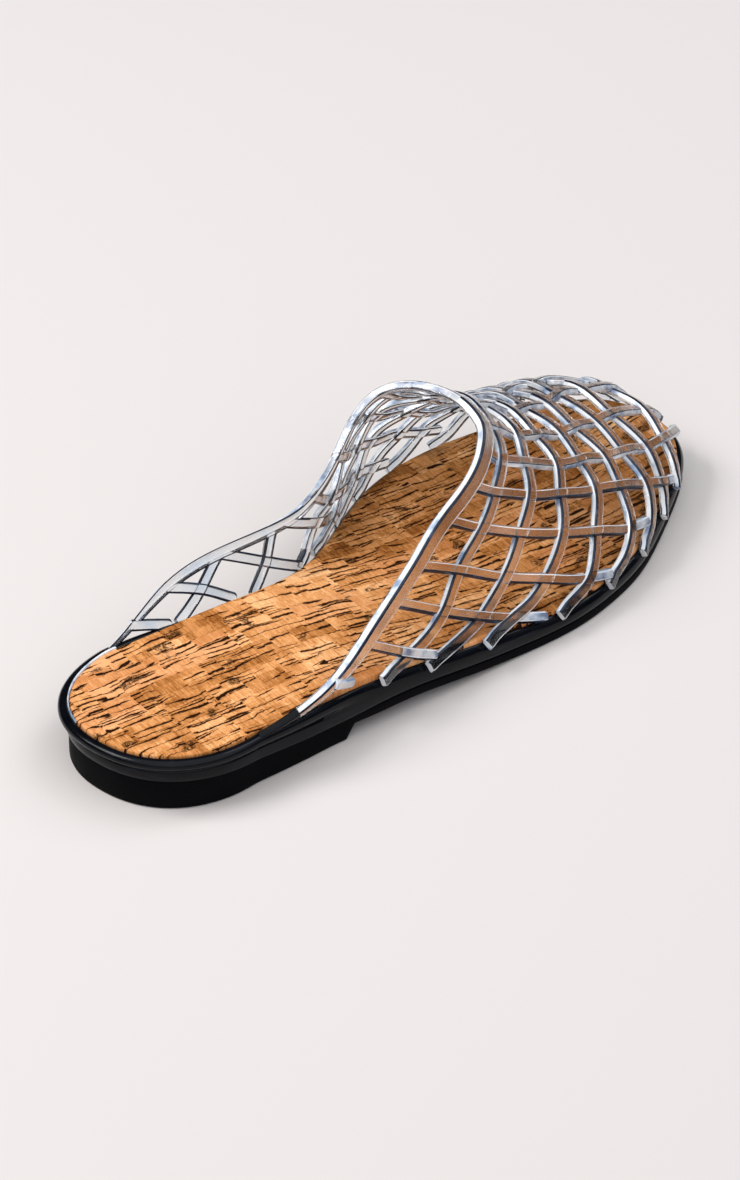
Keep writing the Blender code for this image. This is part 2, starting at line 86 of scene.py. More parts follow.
# station of each hoop's middle line at set shares of the way from the crest
# (0) down to the sole edge (1); hoop 0 is the collar
HOOP_SHARE = (0.0, 0.22, 0.40, 0.57, 0.72, 0.84, 0.93, 1.0)
HOOPS_OUTER = (
    (0.632, 0.621, 0.590, 0.541, 0.452, 0.331, 0.245, 0.140),
    (0.652, 0.637, 0.612, 0.579, 0.533, 0.474, 0.412, 0.330),
    (0.684, 0.669, 0.649, 0.622, 0.589, 0.551, 0.503, 0.410),
    (0.721, 0.711, 0.697, 0.672, 0.644, 0.613, 0.570, 0.490),
    (0.758, 0.752, 0.748, 0.732, 0.706, 0.681, 0.655, 0.600),
    (0.794, 0.790, 0.790, 0.786, 0.772, 0.755, 0.732, 0.690),
    (0.830, 0.827, 0.830, 0.832, 0.828, 0.817, 0.802, 0.772),
    (0.874, 0.874, 0.876, 0.876, 0.874, 0.870, 0.862, 0.846),
    (0.953, 0.950, 0.945, 0.936, 0.926, 0.917, 0.910, 0.902),
)
HOOPS_INNER = (
    (0.632, 0.617, 0.595, 0.566, 0.527, 0.458, 0.235, 0.145),
    (0.652, 0.656, 0.634, 0.605, 0.573, 0.536, 0.480, 0.450),
    (0.684, 0.694, 0.677, 0.645, 0.615, 0.585, 0.552, 0.490),
    (0.721, 0.732, 0.721, 0.695, 0.664, 0.636, 0.609, 0.560),
    (0.758, 0.767, 0.768, 0.746, 0.720, 0.694, 0.668, 0.625),
    (0.794, 0.802, 0.804, 0.795, 0.777, 0.757, 0.737, 0.702),
    (0.830, 0.836, 0.842, 0.842, 0.830, 0.814, 0.800, 0.776),
    (0.874, 0.876, 0.881, 0.886, 0.883, 0.877, 0.868, 0.850),
    (0.953, 0.954, 0.952, 0.948, 0.941, 0.932, 0.920, 0.904),
)
# share of the way down at which each bar crosses the collar and the hoops in turn
BARS_OUTER = (
    (0.928,),
    (0.866, 0.962),
    (0.799, 0.885, 0.936, 0.962),
    (0.741, 0.799, 0.842, 0.869, 0.918),
    (0.645, 0.683, 0.702, 0.712, 0.740, 0.812),
    (0.535, 0.556, 0.555, 0.548, 0.552, 0.606, 0.695, 0.810),
    (0.385, 0.408, 0.410, 0.398, 0.400, 0.433, 0.490, 0.550, 0.610),
    (0.215, 0.240, 0.240, 0.228, 0.224, 0.236, 0.262, 0.284, 0.310),
)
BARS_INNER = (
    (0.968,),
    (0.924, 0.9607),
    (0.893, 0.9455),
    (0.858, 0.910, 0.950),
    (0.815, 0.868, 0.890, 0.905, 0.930),
    (0.715, 0.748, 0.768, 0.780, 0.800, 0.840),
    (0.580, 0.595, 0.600, 0.603, 0.620, 0.672, 0.743, 0.820),
    (0.394, 0.388, 0.393, 0.403, 0.420, 0.460, 0.511, 0.561, 0.612),
    (0.208, 0.212, 0.205, 0.205, 0.212, 0.240, 0.264, 0.292, 0.315),
)
SIDE_HOOPS = (  # row of BARS_INNER, station at the collar, at the bar, at the sole
    (1, 0.3306, 0.2886, 0.247),
    (2, 0.4093, 0.3868, 0.360),
)
TO_SOLE = {14: 0.560, 15: 0.444, 16: 0.324, 17: 0.2275}    # low bars of the arch side, and where each meets the sole
TAIL_FROM = 0.968              # share at which the collar's outer end goes over to the dark tail, painted dark for the black lip seen through the clear collar


# ------------------------------------------------------------------ curves
def spline(xs, ys):
    """Natural cubic spline through the rows of a table."""
    x, y = np.asarray(xs, float), np.asarray(ys, float)
    n, h = len(x), np.diff(x)
    rows, rhs = np.eye(n), np.zeros(n)
    for i in range(1, n - 1):
        rows[i, i - 1:i + 2] = h[i - 1], 2 * (h[i - 1] + h[i]), h[i]
        rhs[i] = 6 * ((y[i + 1] - y[i]) / h[i] - (y[i] - y[i - 1]) / h[i - 1])
    bend = np.linalg.solve(rows, rhs)

    def at(t):
        k = int(np.clip(np.searchsorted(x, t) - 1, 0, n - 2))
        a, b = x[k + 1] - t, t - x[k]
        return ((bend[k] * a ** 3 + bend[k + 1] * b ** 3) / (6 * h[k])
                + (y[k] / h[k] - bend[k] * h[k] / 6) * a
                + (y[k + 1] / h[k] - bend[k + 1] * h[k] / 6) * b)
    return at


def steady(xs, ys):
    """Cubic through the rows that never swings past them."""
    x, y = np.asarray(xs, float), np.asarray(ys, float)
    h, d = np.diff(x), np.diff(y) / np.diff(x)
    m = np.concatenate([[d[0]], (d[:-1] + d[1:]) / 2, [d[-1]]])
    for k in range(1, len(x) - 1):
        if d[k - 1] * d[k] <= 0:
            m[k] = 0.0
        else:
            m[k] = 3 * (h[k - 1] + h[k]) / ((2 * h[k] + h[k - 1]) / d[k - 1] + (h[k] + 2 * h[k - 1]) / d[k])

    def at(t):
        k = int(np.clip(np.searchsorted(x, t) - 1, 0, len(x) - 2))
        u = (t - x[k]) / h[k]
        return (y[k] * (1 + 2 * u) * (1 - u) ** 2 + h[k] * m[k] * u * (1 - u) ** 2
                + y[k + 1] * u * u * (3 - 2 * u) + h[k] * m[k + 1] * u * u * (u - 1))
    return at


def ease(t):
    t = min(max(t, 0.0), 1.0)
    return t * t * (3 - 2 * t)


# ------------------------------------------------------- shape of the sole
S_HEEL, S_TOE = OUTLINE[0][0], OUTLINE[-1][0]
outer_half = spline([r[0] for r in OUTLINE], [r[1] for r in OUTLINE])
inner_half = spline([r[0] for r in OUTLINE], [r[2] for r in OUTLINE])


def half_width(s, half, toe_round):
    if s < S_HEEL:
        a = (S_HEEL - s) / S_HEEL
        return half(S_HEEL) * max(1 - a ** HEEL_ROUND, 0.0) ** (1 / HEEL_ROUND)
    if s > S_TOE:
        b = min((s - S_TOE) / (1 - S_TOE), 1.0)
        slope = (half(S_TOE) - half(S_TOE - 0.01)) / 0.01
        base = half(S_TOE) + slope * (s - S_TOE) * (1 - b)
        return base * max(1 - b ** toe_round, 0.0) ** (1 / toe_round)
    return half(s)


def centre(s):
    return TOE_SWING * min(max((s - 0.5) / 0.5, 0.0), 1.0) ** 2


def outer_edge(s):
    return centre(s) - half_width(s, outer_half, TOE_ROUND_OUTER)


def inner_edge(s):
    return centre(s) + half_width(s, inner_half, TOE_ROUND_INNER)


def spring(s):
    return TOE_SPRING * max((s - SPRING_FROM) / (1 - SPRING_FROM), 0.0) ** 2


def foot_bed(s, heel, ball):
    t = ease((s - HEEL_SEAT_ENDS) / (BALL_STARTS - HEEL_SEAT_ENDS))
    return heel + (ball - heel) * t + spring(s)


def waist_under(s):
    return WAIST_UNDER * (1 - ease((s - WAIST_FROM) / (WAIST_ENDS - WAIST_FROM))) + spring(s)


def under(s):
    return waist_under(s) * min(max((s - BREAST) / BREAST_LEAN, 0.0), 1.0)


def sole_top(s):
    return waist_under(s) + SOLE_EDGE + (HEEL_TOP - WAIST_UNDER - SOLE_EDGE) * (1 - ease(s / BREAST))


def lip_top(s):
    return foot_bed(s, LIP_HEEL, LIP_BALL)


def cork_top(s):
    return foot_bed(s, CORK_HEEL, CORK_BALL)


def mixed(s, heel, ball):
    return heel + (ball - heel) * ease((s - 0.17) / 0.15)


# ------------------------------------------------------- shape of the last
L_AT = [r[0] for r in LAST]
crest_y, crest_z, lean_out, lean_in, full_out, full_in = (
    spline(L_AT, [r[c] for r in LAST]) for c in range(1, 7))
crest_slope = (crest_z(TOE_FROM) - crest_z(TOE_FROM - 0.01)) / 0.01


def wall_base(s):
    return cork_top(s) - 1.0


def crest_height(s):
    if s <= TOE_FROM:
        return crest_z(s)
    b = min((s - TOE_FROM) / (TOE_TIP - TOE_FROM), 1.0)
    rise = crest_z(TOE_FROM) + crest_slope * (s - TOE_FROM) * (1 - b) - wall_base(s)
    return wall_base(s) + rise * max(1 - b ** TOE_FALL, 0.0) ** (1 / TOE_FALL)


def last_point(s, f):
    """Point on the last; f runs from -1 at the outer edge by 0 at the crest to 1 at the inner edge."""
    s = min(max(s, 0.01), TOE_TIP)
    low, high = wall_base(s), crest_height(s)
    left, right = outer_edge(s) + BASE_INSET, inner_edge(s) - BASE_INSET
    top = min(max(crest_y(s), left + 0.3 * (right - left)), left + 0.8 * (right - left))
    edge, lean, full = (left, lean_out(s), full_out(s)) if f < 0 else (right, lean_in(s), full_in(s))
    rise, run, t = high - low, top - edge, 1 - abs(f)
    way = 1.0 if run > 0 else -1.0
    ys = (edge, edge + way * math.tan(math.radians(lean)) * full * rise, top - full * run, top)
    zs = (low, low + full * rise, high, high)
    w = ((1 - t) ** 3, 3 * (1 - t) ** 2 * t, 3 * (1 - t) * t * t, t ** 3)
    return np.array([s * LENGTH, sum(a * b for a, b in zip(w, ys)), sum(a * b for a, b in zip(w, zs))])


def last_normal(s, f):
    e = 0.004
    lo, hi = max(f - e, -1.0), min(f + e, 1.0)
    across = last_point(s, hi) - last_point(s, lo)
    along = last_point(s + e, f) - last_point(s - e, f)
    n = np.cross(along, across)
    return n / np.linalg.norm(n)


hoop_outer = [steady(HOOP_SHARE, row) for row in HOOPS_OUTER]
hoop_inner = [steady(HOOP_SHARE, row) for row in HOOPS_INNER]


def hoop_station(i, f):
    return (hoop_outer if f < 0 else hoop_inner)[i](abs(f))


# bars in order from the outer sole edge over the crest to the inner edge
BARS = ([tuple(-v for v in row) for row in BARS_OUTER] + [(0.0,) * 9]
        + [row for row in reversed(BARS_INNER)])


def collar_share(s):
    """Share at which the inner side of the collar passes a station."""
    lo, hi = 0.3, 1.0
    for _ in range(40):
        mid = (lo + hi) / 2
        lo, hi = (mid, hi) if hoop_station(0, mid) > s else (lo, mid)
    return lo


PLACE = {(i, j): (hoop_station(i, f), f) for j, row in enumerate(BARS) for i, f in enumerate(row)}
SIDE = {}                      # side hoops by the number of the bar that each crosses
for row, at_collar, at_bar, at_sole in SIDE_HOOPS:
    j = len(BARS) - 1 - row
    SIDE[j] = (collar_share(at_collar), steady(
        (collar_share(at_collar), BARS_INNER[row][1], 1.0), (at_collar, at_bar, at_sole)))
    PLACE[1, j] = (at_bar, BARS[j][1])


def hoop_over(i, j):
    """True where a hoop passes over a bar, turn and turn about."""
    return (i + j) % 2 == 1


# ------------------------------------------------------- the clear strips
def rounded(corners, parts=3):
    """Outline through (across, out, radius) corners, run round one way, as (across, out) pairs."""
    points, count = [], len(corners)
    for k in range(count):
        x, y, radius = corners[k]
        here = np.array([x, y])
        one = np.array(corners[k - 1][:2]) - here
        two = np.array(corners[(k + 1) % count][:2]) - here
        la, lb = np.linalg.norm(one), np.linalg.norm(two)
        one, two = one / la, two / lb
        half = math.acos(max(-1.0, min(1.0, float(np.dot(one, two))))) / 2
        reach = min(radius / math.tan(half), 0.45 * la, 0.45 * lb)
        radius = reach * math.tan(half)
        middle = here + (one + two) / np.linalg.norm(one + two) * (radius / math.sin(half))
        start, stop = here + one * reach - middle, here + two * reach - middle
        a0, a1 = math.atan2(start[1], start[0]), math.atan2(stop[1], stop[0])
        turn = (a1 - a0 + math.pi) % (2 * math.pi) - math.pi
        for m in range(parts + 1):
            a = a0 + turn * m / parts
            points.append(middle + radius * np.array([math.cos(a), math.sin(a)]))
    return np.array(points)


def strip_section(wide, thick, taper=TAPER, corner=CORNER):
    """A strip that is narrower on its outer face, with soft outer edges."""
    w, t = wide / 2, thick / 2
    return rounded(((w, -t, 0.6), (w - taper, t, corner), (taper - w, t, corner), (-w, -t, 0.6)))


def even_run(path, lift, step=STEP):
    """Points and normals at even steps along path(t) -> (station, share), t from 0 to 1."""
    ts = np.linspace(0.0, 1.0, 241)
    where = [path(t) for t in ts]
    rough = np.array([last_point(s, f) for s, f in where])
    run = np.concatenate([[0.0], np.cumsum(np.linalg.norm(np.diff(rough, axis=0), axis=1))])
    count = max(4, int(math.ceil(run[-1] / step)))
    points, normals = [], []
    for d in np.linspace(0.0, run[-1], count + 1):
        t = float(np.interp(d, run, ts))
        s, f = path(t)
        n = last_normal(s, f)
        points.append(last_point(s, f) + n * lift(t))
        normals.append(n)
    return points, normals


# Looks of the faces round a strip, from the inner corner on its + side by the + wall, outer
# corner, outer face, outer corner, - wall and inner corner to the inner face; three faces make a
# corner. 0 is clear; the others are painted light and shade, set by where a face lies and which
# way it faces: 1 a painted dark line at an edge, 2 a painted gleam on a flank, 3 a painted
# lighter, bluish haze on the arch side, 4 a painted glint on the end of a bar.
HOOP_LOOK = (0, 0, 0, 2, 1, 1, 1, 0, 0, 2, 0, 0, 0, 0, 0, 0)
BAR_LOOK = (0, 2, 2, 1, 1, 1, 0, 0, 0, 2, 0, 0, 0, 0, 0, 0)
TOP_BAR_LOOK = (0, 2, 4, 4, 4, 1, 0, 0, 0, 2, 0, 0, 0, 0, 0, 0)
NUB_LOOK = (0, 2, 1, 1, 1, 2, 4, 4, 4, 2, 2, 4, 4, 2, 0, 4)
ARCH_LOOK = (1, 1, 1, 3, 3, 3, 3, 3, 3, 3, 3, 1, 1, 1, 1, 3)
COLLAR_ARCH_LOOK = (0, 1, 1, 2, 2, 3, 3, 3, 3, 3, 3, 3, 1, 1, 1, 3)
INSTEP_LOOK = (0, 1, 0, 4, 2, 3, 3, 3, 3, 3, 3, 3, 0, 1, 0, 3)
TO_HEEL, TO_FLOOR = np.array([-0.80, 0.0, 0.35]), np.array([0.0, -0.7, -0.7])    # ways that the flank with the painted gleam faces


def look(plain, way, by_arch=ARCH_LOOK):
    """Picks the painted light and shade of a section's faces by where it lies and which of its flanks faces the given
    way.
    """
    turn = lambda faces: tuple(faces[(14 - b) % 16] for b in range(16))

    def pick(arch, nub, side):
        faces, to = ((by_arch, INSTEP_LOOK)[arch - 1], (0.0, 0.0, 1.0)) if arch else (NUB_LOOK if nub else plain, way)
        return faces if np.dot(side, to) > 0 else turn(faces)
    return pick


class Strips:
    """Closed tubes joined into one mesh."""

    def __init__(self):
        self.points, self.faces, self.looks = [], [], []

    def tube(self, points, normals, outline, blunt=(0.25, 0.25), dome=(0.0, 0.0), looks=look(HOOP_LOOK, TO_HEEL), caps=(2, 2),
             arch_from=4.0, nub=0.0):
        """Sweep outline(share of the way) along the run; ends are cut square or domed."""
        points, normals = [np.asarray(p) for p in points], list(normals)
        count = len(points)
        tangents = []
        for k in range(count):
            t = points[min(k + 1, count - 1)] - points[max(k - 1, 0)]
            tangents.append(t / np.linalg.norm(t))
        rings = []

        def ring(p, t, n, shape):
            side = np.cross(n, t)
            side = side / np.linalg.norm(side)
            out = np.cross(t, side)
            return [p + a * side + b * out for a, b in shape]

        def end(k, way, square, round_off):
            p, t, n = points[k], tangents[k] * way, normals[k]
            shape = outline(k / (count - 1))
            extra = []
            if round_off > 0:
                for u in (0.35, 0.62, 0.82, 0.94):
                    extra.append(ring(p + t * round_off * u, tangents[k], n, shape * math.sqrt(1 - u * u)))
            else:
                small = shape * (1 - 2 * square / np.abs(shape).max(axis=0) / 2)
                extra.append(ring(p + t * square * 0.8, tangents[k], n, small))
            return extra

        rings += end(0, -1.0, blunt[0], dome[0])[::-1]
        for k in range(count):
            rings.append(ring(points[k], tangents[k], normals[k], outline(k / (count - 1))))
        rings += end(count - 1, 1.0, blunt[1], dome[1])
        base, m = len(self.points), len(rings[0])
        for r in rings:
            self.points += r
        tip = np.mean(rings[-1], axis=0)
        for a in range(len(rings) - 1):
            x, y, _ = rings[a][0]
            # painted light and shade: each face takes a material by where the section lies (arch side, instep, near a
            # bar's end) and which way its flanks face
            arch = (2 if x > 0.46 * LENGTH else 1) if y > crest_y(min(x / LENGTH, 0.96)) + arch_from else 0
            near = np.linalg.norm(np.mean(rings[a], axis=0) - tip) < nub
            self.looks += looks(arch, near, rings[a][5] - rings[a][9])
            for b in range(m):
                c = (b + 1) % m
                self.faces.append((base + a * m + b, base + a * m + c, base + (a + 1) * m + c, base + (a + 1) * m + b))
        self.faces.append(tuple(base + b for b in reversed(range(m))))
        top = base + (len(rings) - 1) * m
        self.faces.append(tuple(top + b for b in range(m)))
        # the end caps take look 2 by default, the painted gleam
        self.looks += caps

    def build(self, name, materials=()):
        mesh = bpy.data.meshes.new(name)
        mesh.from_pydata([Vector((p - MIDDLE) * MM) for p in self.points], [], self.faces)
        for material in materials:
            mesh.materials.append(material)
        if len(materials) > 1:
            mesh.polygons.foreach_set("material_index", np.array(self.looks, dtype=np.int32))
        bm = bmesh.new()
        bm.from_mesh(mesh)
        bmesh.ops.recalc_face_normals(bm, faces=bm.faces)
        bm.to_mesh(mesh)
        bm.free()
        piece = bpy.data.objects.new(name, mesh)
        bpy.context.scene.collection.objects.link(piece)
        return piece


def stretch_end(points, normals, length, step=0.8, droop=0.0):
    """Run straight on past the last point."""
    t = points[-1] - points[-2]
    t = t / np.linalg.norm(t)
    count = max(1, int(round(length / step)))
    start = points[-1]
    for k in range(1, count + 1):
        points.append(start + t * length * k / count - normals[-1] * droop * (k / count) ** 2)
        normals.append(normals[-1])


def waver(marks):
    """Smooth run through (t, lift) marks with a level tangent at each."""
    marks = sorted(marks)

    def at(t):
        if t <= marks[0][0]:
            return marks[0][1]
        for (a, u), (b, v) in zip(marks, marks[1:]):
            if t <= b:
                return u + (v - u) * ease((t - a) / max(b - a, 1e-6))
        return marks[-1][1]
    return at


FEET = (0.0, 2.0, 5.0, 2.3, 0.4, 0.3, 0.6, 0.6, 0.6)    # how far the outer foot of each hoop laps over the band
FLARE = 0.95                   # how far it stands out there


def hoop_run(i, line, f0, f1, marks):
    """Centre line of a hoop from share f0 to f1 with its lift at the crossings."""
    path = lambda t: (line(f0 + (f1 - f0) * t), f0 + (f1 - f0) * t)
    return even_run(path, waver([((f - f0) / (f1 - f0), v) for f, v in marks]))


def flared(points, normals, reach=5.0):
    """Bend the last few millimetres of a run outward, to stand on the outside of the band."""
    run = np.concatenate([[0.0], np.cumsum(np.linalg.norm(np.diff(np.array(points), axis=0), axis=1))])
    for k in range(len(points)):
        points[k] = points[k] + normals[k] * FLARE * ease((run[k] - run[-1] + reach) / reach)


def make_cage():
    hoops, bars_a, bars_b, sides = Strips(), Strips(), Strips(), Strips()
    # the collar: full width over the instep, drawn thin where it meets the sole
    line = lambda f: hoop_station(0, f)
    points, normals = hoop_run(0, line, -TAIL_FROM, 1.0, [(-1.0, 0.0), (1.0, 0.0)])
    total = len(points)

    def collar(t):
        f = -TAIL_FROM + (1.0 + TAIL_FROM) * t
        near = max(ease((abs(f) - 0.90) / 0.10) if f > 0 else ease((abs(f) - 0.88) / 0.09), 0.0)
        slim = 1.9 * ease((f - 0.25) / 0.4)
        wide = COLLAR_WIDE - slim + ((2.0 if f > 0 else 4.2) - COLLAR_WIDE + slim) * near
        return strip_section(wide, 2.9 - 0.5 * near, 1.1 - 0.3 * near, 0.85 - 0.2 * near)
    # shares along the run go by length, so look each one up
    lookup = even_shares(line, -TAIL_FROM, 1.0, total)
    hoops.tube(points, normals, lambda t: collar((lookup(t) + TAIL_FROM) / (1.0 + TAIL_FROM)),
               looks=look(HOOP_LOOK, TO_HEEL, COLLAR_ARCH_LOOK), arch_from=-5.0)
    for i in range(1, len(HOOPS_OUTER)):
        line = lambda f, i=i: hoop_station(i, f)
        marks = [(-1.0, 0.0), (1.0, 0.0)]
        for j in range(len(BARS)):
            if (i, j) in PLACE and not (i == 1 and j in SIDE):
                marks.append((PLACE[i, j][1], WEAVE if hoop_over(i, j) else -WEAVE))
        points, normals = hoop_run(i, line, 1.0, -1.0, marks)
        stretch_end(points, normals, FEET[i])
        flared(points, normals)
        points.reverse(), normals.reverse()
        stretch_end(points, normals, 1.2)
        flared(points, normals)
        shape = strip_section(HOOP_WIDE, WALL)
        hoops.tube(points, normals, lambda t: shape)
    for j, (top, line) in SIDE.items():
        f0 = top - 0.004
        marks = [(f0, -0.1), (PLACE[1, j][1], WEAVE if hoop_over(1, j) else -WEAVE), (1.0, 0.0)]
        path = lambda t: (line(max(f0 + (1.0 - f0) * t, top)), f0 + (1.0 - f0) * t)
        points, normals = even_run(path, waver([((f - f0) / (1.0 - f0), v) for f, v in marks]))
        stretch_end(points, normals, 1.3)
        flared(points, normals)
        shape = strip_section(HOOP_WIDE - 0.4, WALL - 0.1)
        sides.tube(points, normals, lambda t: shape)
    for j, row in enumerate(BARS):
        run = [PLACE[i, j] for i in range(len(row))]
        lifts = [-0.12] + [(-WEAVE if hoop_over(i, j) else WEAVE) for i in range(1, len(row))]
        if len(row) == len(HOOPS_OUTER):
            s, f = run[-1]
            run += [(max(0.974, s + 0.014), f * 1.17), (0.987, f * 1.5)]
            lifts += [0.0, 0.0]
        if j in NUBS and len(run) > 1:
            # run on over the last past the last hoop, lapping over the band
            (s0, f0), (s1, f1) = run[-2:]
            k = (NUBS[j] - 1.4) / np.linalg.norm(last_point(s1, f1) - last_point(s0, f0))
            run.append((s1 + (s1 - s0) * k, max(f1 + (f1 - f0) * k, -0.985)))
            lifts.append(0.9)
        if j in TO_SOLE:
            # low on the arch side the bars run right down to the sole
            run.append((TO_SOLE[j], 1.0))
            lifts.append(0.2)
        if len(run) == 1:
            s, f = run[0]
            p, n = last_point(s, f), last_normal(s, f)
            b = np.array([0.80, -0.40 if f < 0 else 0.25, -0.38])
            b = b - n * np.dot(b, n)
            b = b / np.linalg.norm(b)
            rise = 1.3 if f < 0 else -0.1
            points = [p - b * 1.2 + n * rise, p + n * rise, p + b * 1.2 + n * rise]
            normals = [n, n, n]
        else:
            at = [last_point(s, f) for s, f in run]
            gone = np.concatenate([[0.0], np.cumsum([np.linalg.norm(b - a) for a, b in zip(at, at[1:])])])
            gone = gone / gone[-1]
            if len(run) == 2:
                s_of = lambda t: run[0][0] + (run[1][0] - run[0][0]) * t
                f_of = lambda t: run[0][1] + (run[1][1] - run[0][1]) * t
            else:
                s_of = steady(gone, [r[0] for r in run])
                f_of = steady(gone, [r[1] for r in run]) if any(r[1] for r in run) else (lambda t: 0.0)
            lift = waver(list(zip(gone, lifts)))
            points, normals = even_run(lambda t: (s_of(t), f_of(t)), lift)
            # take the bar on to the back edge of the collar
            points.reverse(), normals.reverse()
            stretch_end(points, normals, 1.3 if j < 13 else 0.4)
            points.reverse(), normals.reverse()
        if len(row) == len(HOOPS_OUTER):
            # down over the toe to the band
            t = points[-1] - points[-2]
            drop = points[-1][2] - lip_top(0.985) - 0.4
            stretch_end(points, normals, min(max(drop * np.linalg.norm(t) / max(-t[2], 1e-3), 0.3), 4.0))
        if j == 0:
            stretch_end(points, normals, NUBS[j] - 2.6, droop=0.3)
        elif len(row) < len(HOOPS_OUTER) and j not in TO_SOLE and j not in NUBS:
            stretch_end(points, normals, NUB - 1.4, droop=0.3)
        shape = strip_section(BAR_WIDE, WALL)
        strips = bars_a if j % 2 else bars_b
        strips.tube(points, normals, lambda t: shape, dome=(0.0, 1.4),
                    looks=look(BAR_LOOK if j < 6 else TOP_BAR_LOOK, TO_FLOOR),
                    nub=0.0 if j in TO_SOLE else 20.0 if j == 0 else 15.0 if j == 1 else NUBS.get(j, 4.5) - 1.0)
    return hoops, bars_a, bars_b, sides


def even_shares(line, f0, f1, total):
    """Share at a given part of the length of a hoop's run."""
    fs = np.linspace(f0, f1, 241)
    rough = np.array([last_point(line(f), f) for f in fs])
    run = np.concatenate([[0.0], np.cumsum(np.linalg.norm(np.diff(rough, axis=0), axis=1))])
    return lambda t: float(np.interp(t * run[-1], run, fs))


def unite(first, others):
    """One closed body from several."""
    for other in others:
        joint = first.modifiers.new("join", "BOOLEAN")
        joint.operation = "UNION"
        joint.solver = "MANIFOLD"
        joint.object = other
    bpy.context.view_layer.update()
    graph = bpy.context.evaluated_depsgraph_get()
    mesh = bpy.data.meshes.new_from_object(first.evaluated_get(graph))
    first.modifiers.clear()
    old = first.data
    first.data = mesh
    bpy.data.meshes.remove(old)
    for other in others:
        spare = other.data
        bpy.data.objects.remove(other, do_unlink=True)
        bpy.data.meshes.remove(spare)
    return first


def smooth(piece, angle):
    piece.data.shade_smooth()
    piece.data.set_sharp_from_angle(angle=math.radians(angle))


# ------------------------------------------------------- the sole pieces
def sole_stations(count=150, extra=()):
    even = [(1 - math.cos(math.pi * k / count)) / 2 for k in range(count + 1)]
    extra = list(extra)
    even = [s for s in even if all(abs(s - e) > 0.0012 for e in extra)]
    return sorted(even + extra)


def ring(stations, inset, height):
    """Closed loop round the sole, inset from the outline at each station."""
    outer = [np.array([s * LENGTH, outer_edge(s)]) for s in stations]
    inner = [np.array([s * LENGTH, inner_edge(s)]) for s in stations]
    flat = outer + inner[-2:0:-1]
    along = list(stations) + list(stations[-2:0:-1])
    n, loop = len(flat), []
    for k in range(n):
        t = flat[(k + 1) % n] - flat[k - 1]
        t = t / np.linalg.norm(t)
        p = flat[k] - np.array([t[1], -t[0]]) * inset(along[k])
        loop.append(np.array([p[0], p[1], height(along[k])]))
    return loop


def skin(name, stations, rings, columns=(1, 1), shape_low=None, shape_high=None):
    """Skin a stack of rings; both ends are closed across the shoe in columns."""
    bm = bmesh.new()
    rows = [[bm.verts.new(Vector((p - MIDDLE) * MM)) for p in r] for r in rings]
    n, last = len(rows[0]), len(stations) - 1
    for low, high in zip(rows, rows[1:]):
        for k in range(n):
            bm.faces.new((low[k], low[(k + 1) % n], high[(k + 1) % n], high[k]))
    for row, loop, count, shape in ((rows[0], rings[0], columns[0], shape_low),
                                    (rows[-1], rings[-1], columns[1], shape_high)):
        lines = [[row[0]] * (count + 1)]
        for k in range(1, last):
            a, b = loop[k], loop[n - k]
            line = [row[k]]
            for c in range(1, count):
                p = a + (b - a) * c / count
                if shape:
                    p = shape(stations[k], c / count, p, a, b)
                line.append(bm.verts.new(Vector((p - MIDDLE) * MM)))
            line.append(row[n - k])
            lines.append(line)
        lines.append([row[last]] * (count + 1))
        for one, two in zip(lines, lines[1:]):
            for c in range(count):
                corners = list(dict.fromkeys((one[c], two[c], two[c + 1], one[c + 1])))
                if len(corners) > 2:
                    bm.faces.new(corners)
    bmesh.ops.recalc_face_normals(bm, faces=bm.faces)
    mesh = bpy.data.meshes.new(name)
    bm.to_mesh(mesh)
    bm.free()
    piece = bpy.data.objects.new(name, mesh)
    bpy.context.scene.collection.objects.link(piece)
    return piece


def band_foot(s):
    return sole_top(s) + 0.05


# the midsole from its underside up the side, over the lip and down to the cork
BAND = (  # heel inset, heel share of height, forefoot inset, forefoot share of height
    (2.0, 0.00, 0.9, 0.00),
    (1.35, 0.02, 0.45, 0.03),
    (1.15, 0.08, 0.22, 0.10),
    (1.05, 0.22, 0.10, 0.22),
    (1.05, 0.38, 0.06, 0.32),
    (1.25, 0.45, 0.10, 0.40),
    (1.75, 0.50, 0.18, 0.46),
    (1.30, 0.54, 0.30, 0.52),
    (0.20, 0.58, 0.46, 0.58),
    (-0.60, 0.66, 0.66, 0.64),
    (-0.98, 0.76, 0.90, 0.70),
    (-0.90, 0.86, 1.18, 0.75),
    (-0.40, 0.95, 1.50, 0.79),
    (0.40, 0.995, 1.80, 0.82),
    (1.20, 1.00, 2.05, 0.835),
    (1.75, 0.985, 2.22, 0.84),
    (2.10, 0.955, 2.32, 0.82),
    (2.35, 0.80, 2.38, 0.72),
)


def cork_inset(s):
    return mixed(s, 2.5, 2.4)


def make_midsole():
    stations = sole_stations(150)
    rings = []
    for heel_in, heel_up, ball_in, ball_up in BAND:
        rings.append(ring(
            stations,
            lambda s, a=heel_in, b=ball_in: mixed(s, a, b),
            lambda s, a=heel_up, b=ball_up: band_foot(s) + (lip_top(s) - band_foot(s)) * mixed(s, a, b)))
    rings.append(ring(stations, lambda s: cork_inset(s) - 0.05, lambda s: cork_top(s) - CORK_THICK))
    return skin("midsole_visual", stations, rings)


def make_insole():
    stations = sole_stations(130)
    rings = [
        ring(stations, cork_inset, lambda s: cork_top(s) - CORK_THICK + 0.1),
        ring(stations, cork_inset, lambda s: cork_top(s) - 0.75),
        ring(stations, lambda s: cork_inset(s) + 0.10, lambda s: cork_top(s) - 0.40),
        ring(stations, lambda s: cork_inset(s) + 0.32, lambda s: cork_top(s) - 0.14),
        ring(stations, lambda s: cork_inset(s) + 0.75, lambda s: cork_top(s) - 0.02),
        ring(stations, lambda s: cork_inset(s) + 1.4, cork_top),
    ]
    return skin("insole_visual", stations, rings, columns=(1, 16))


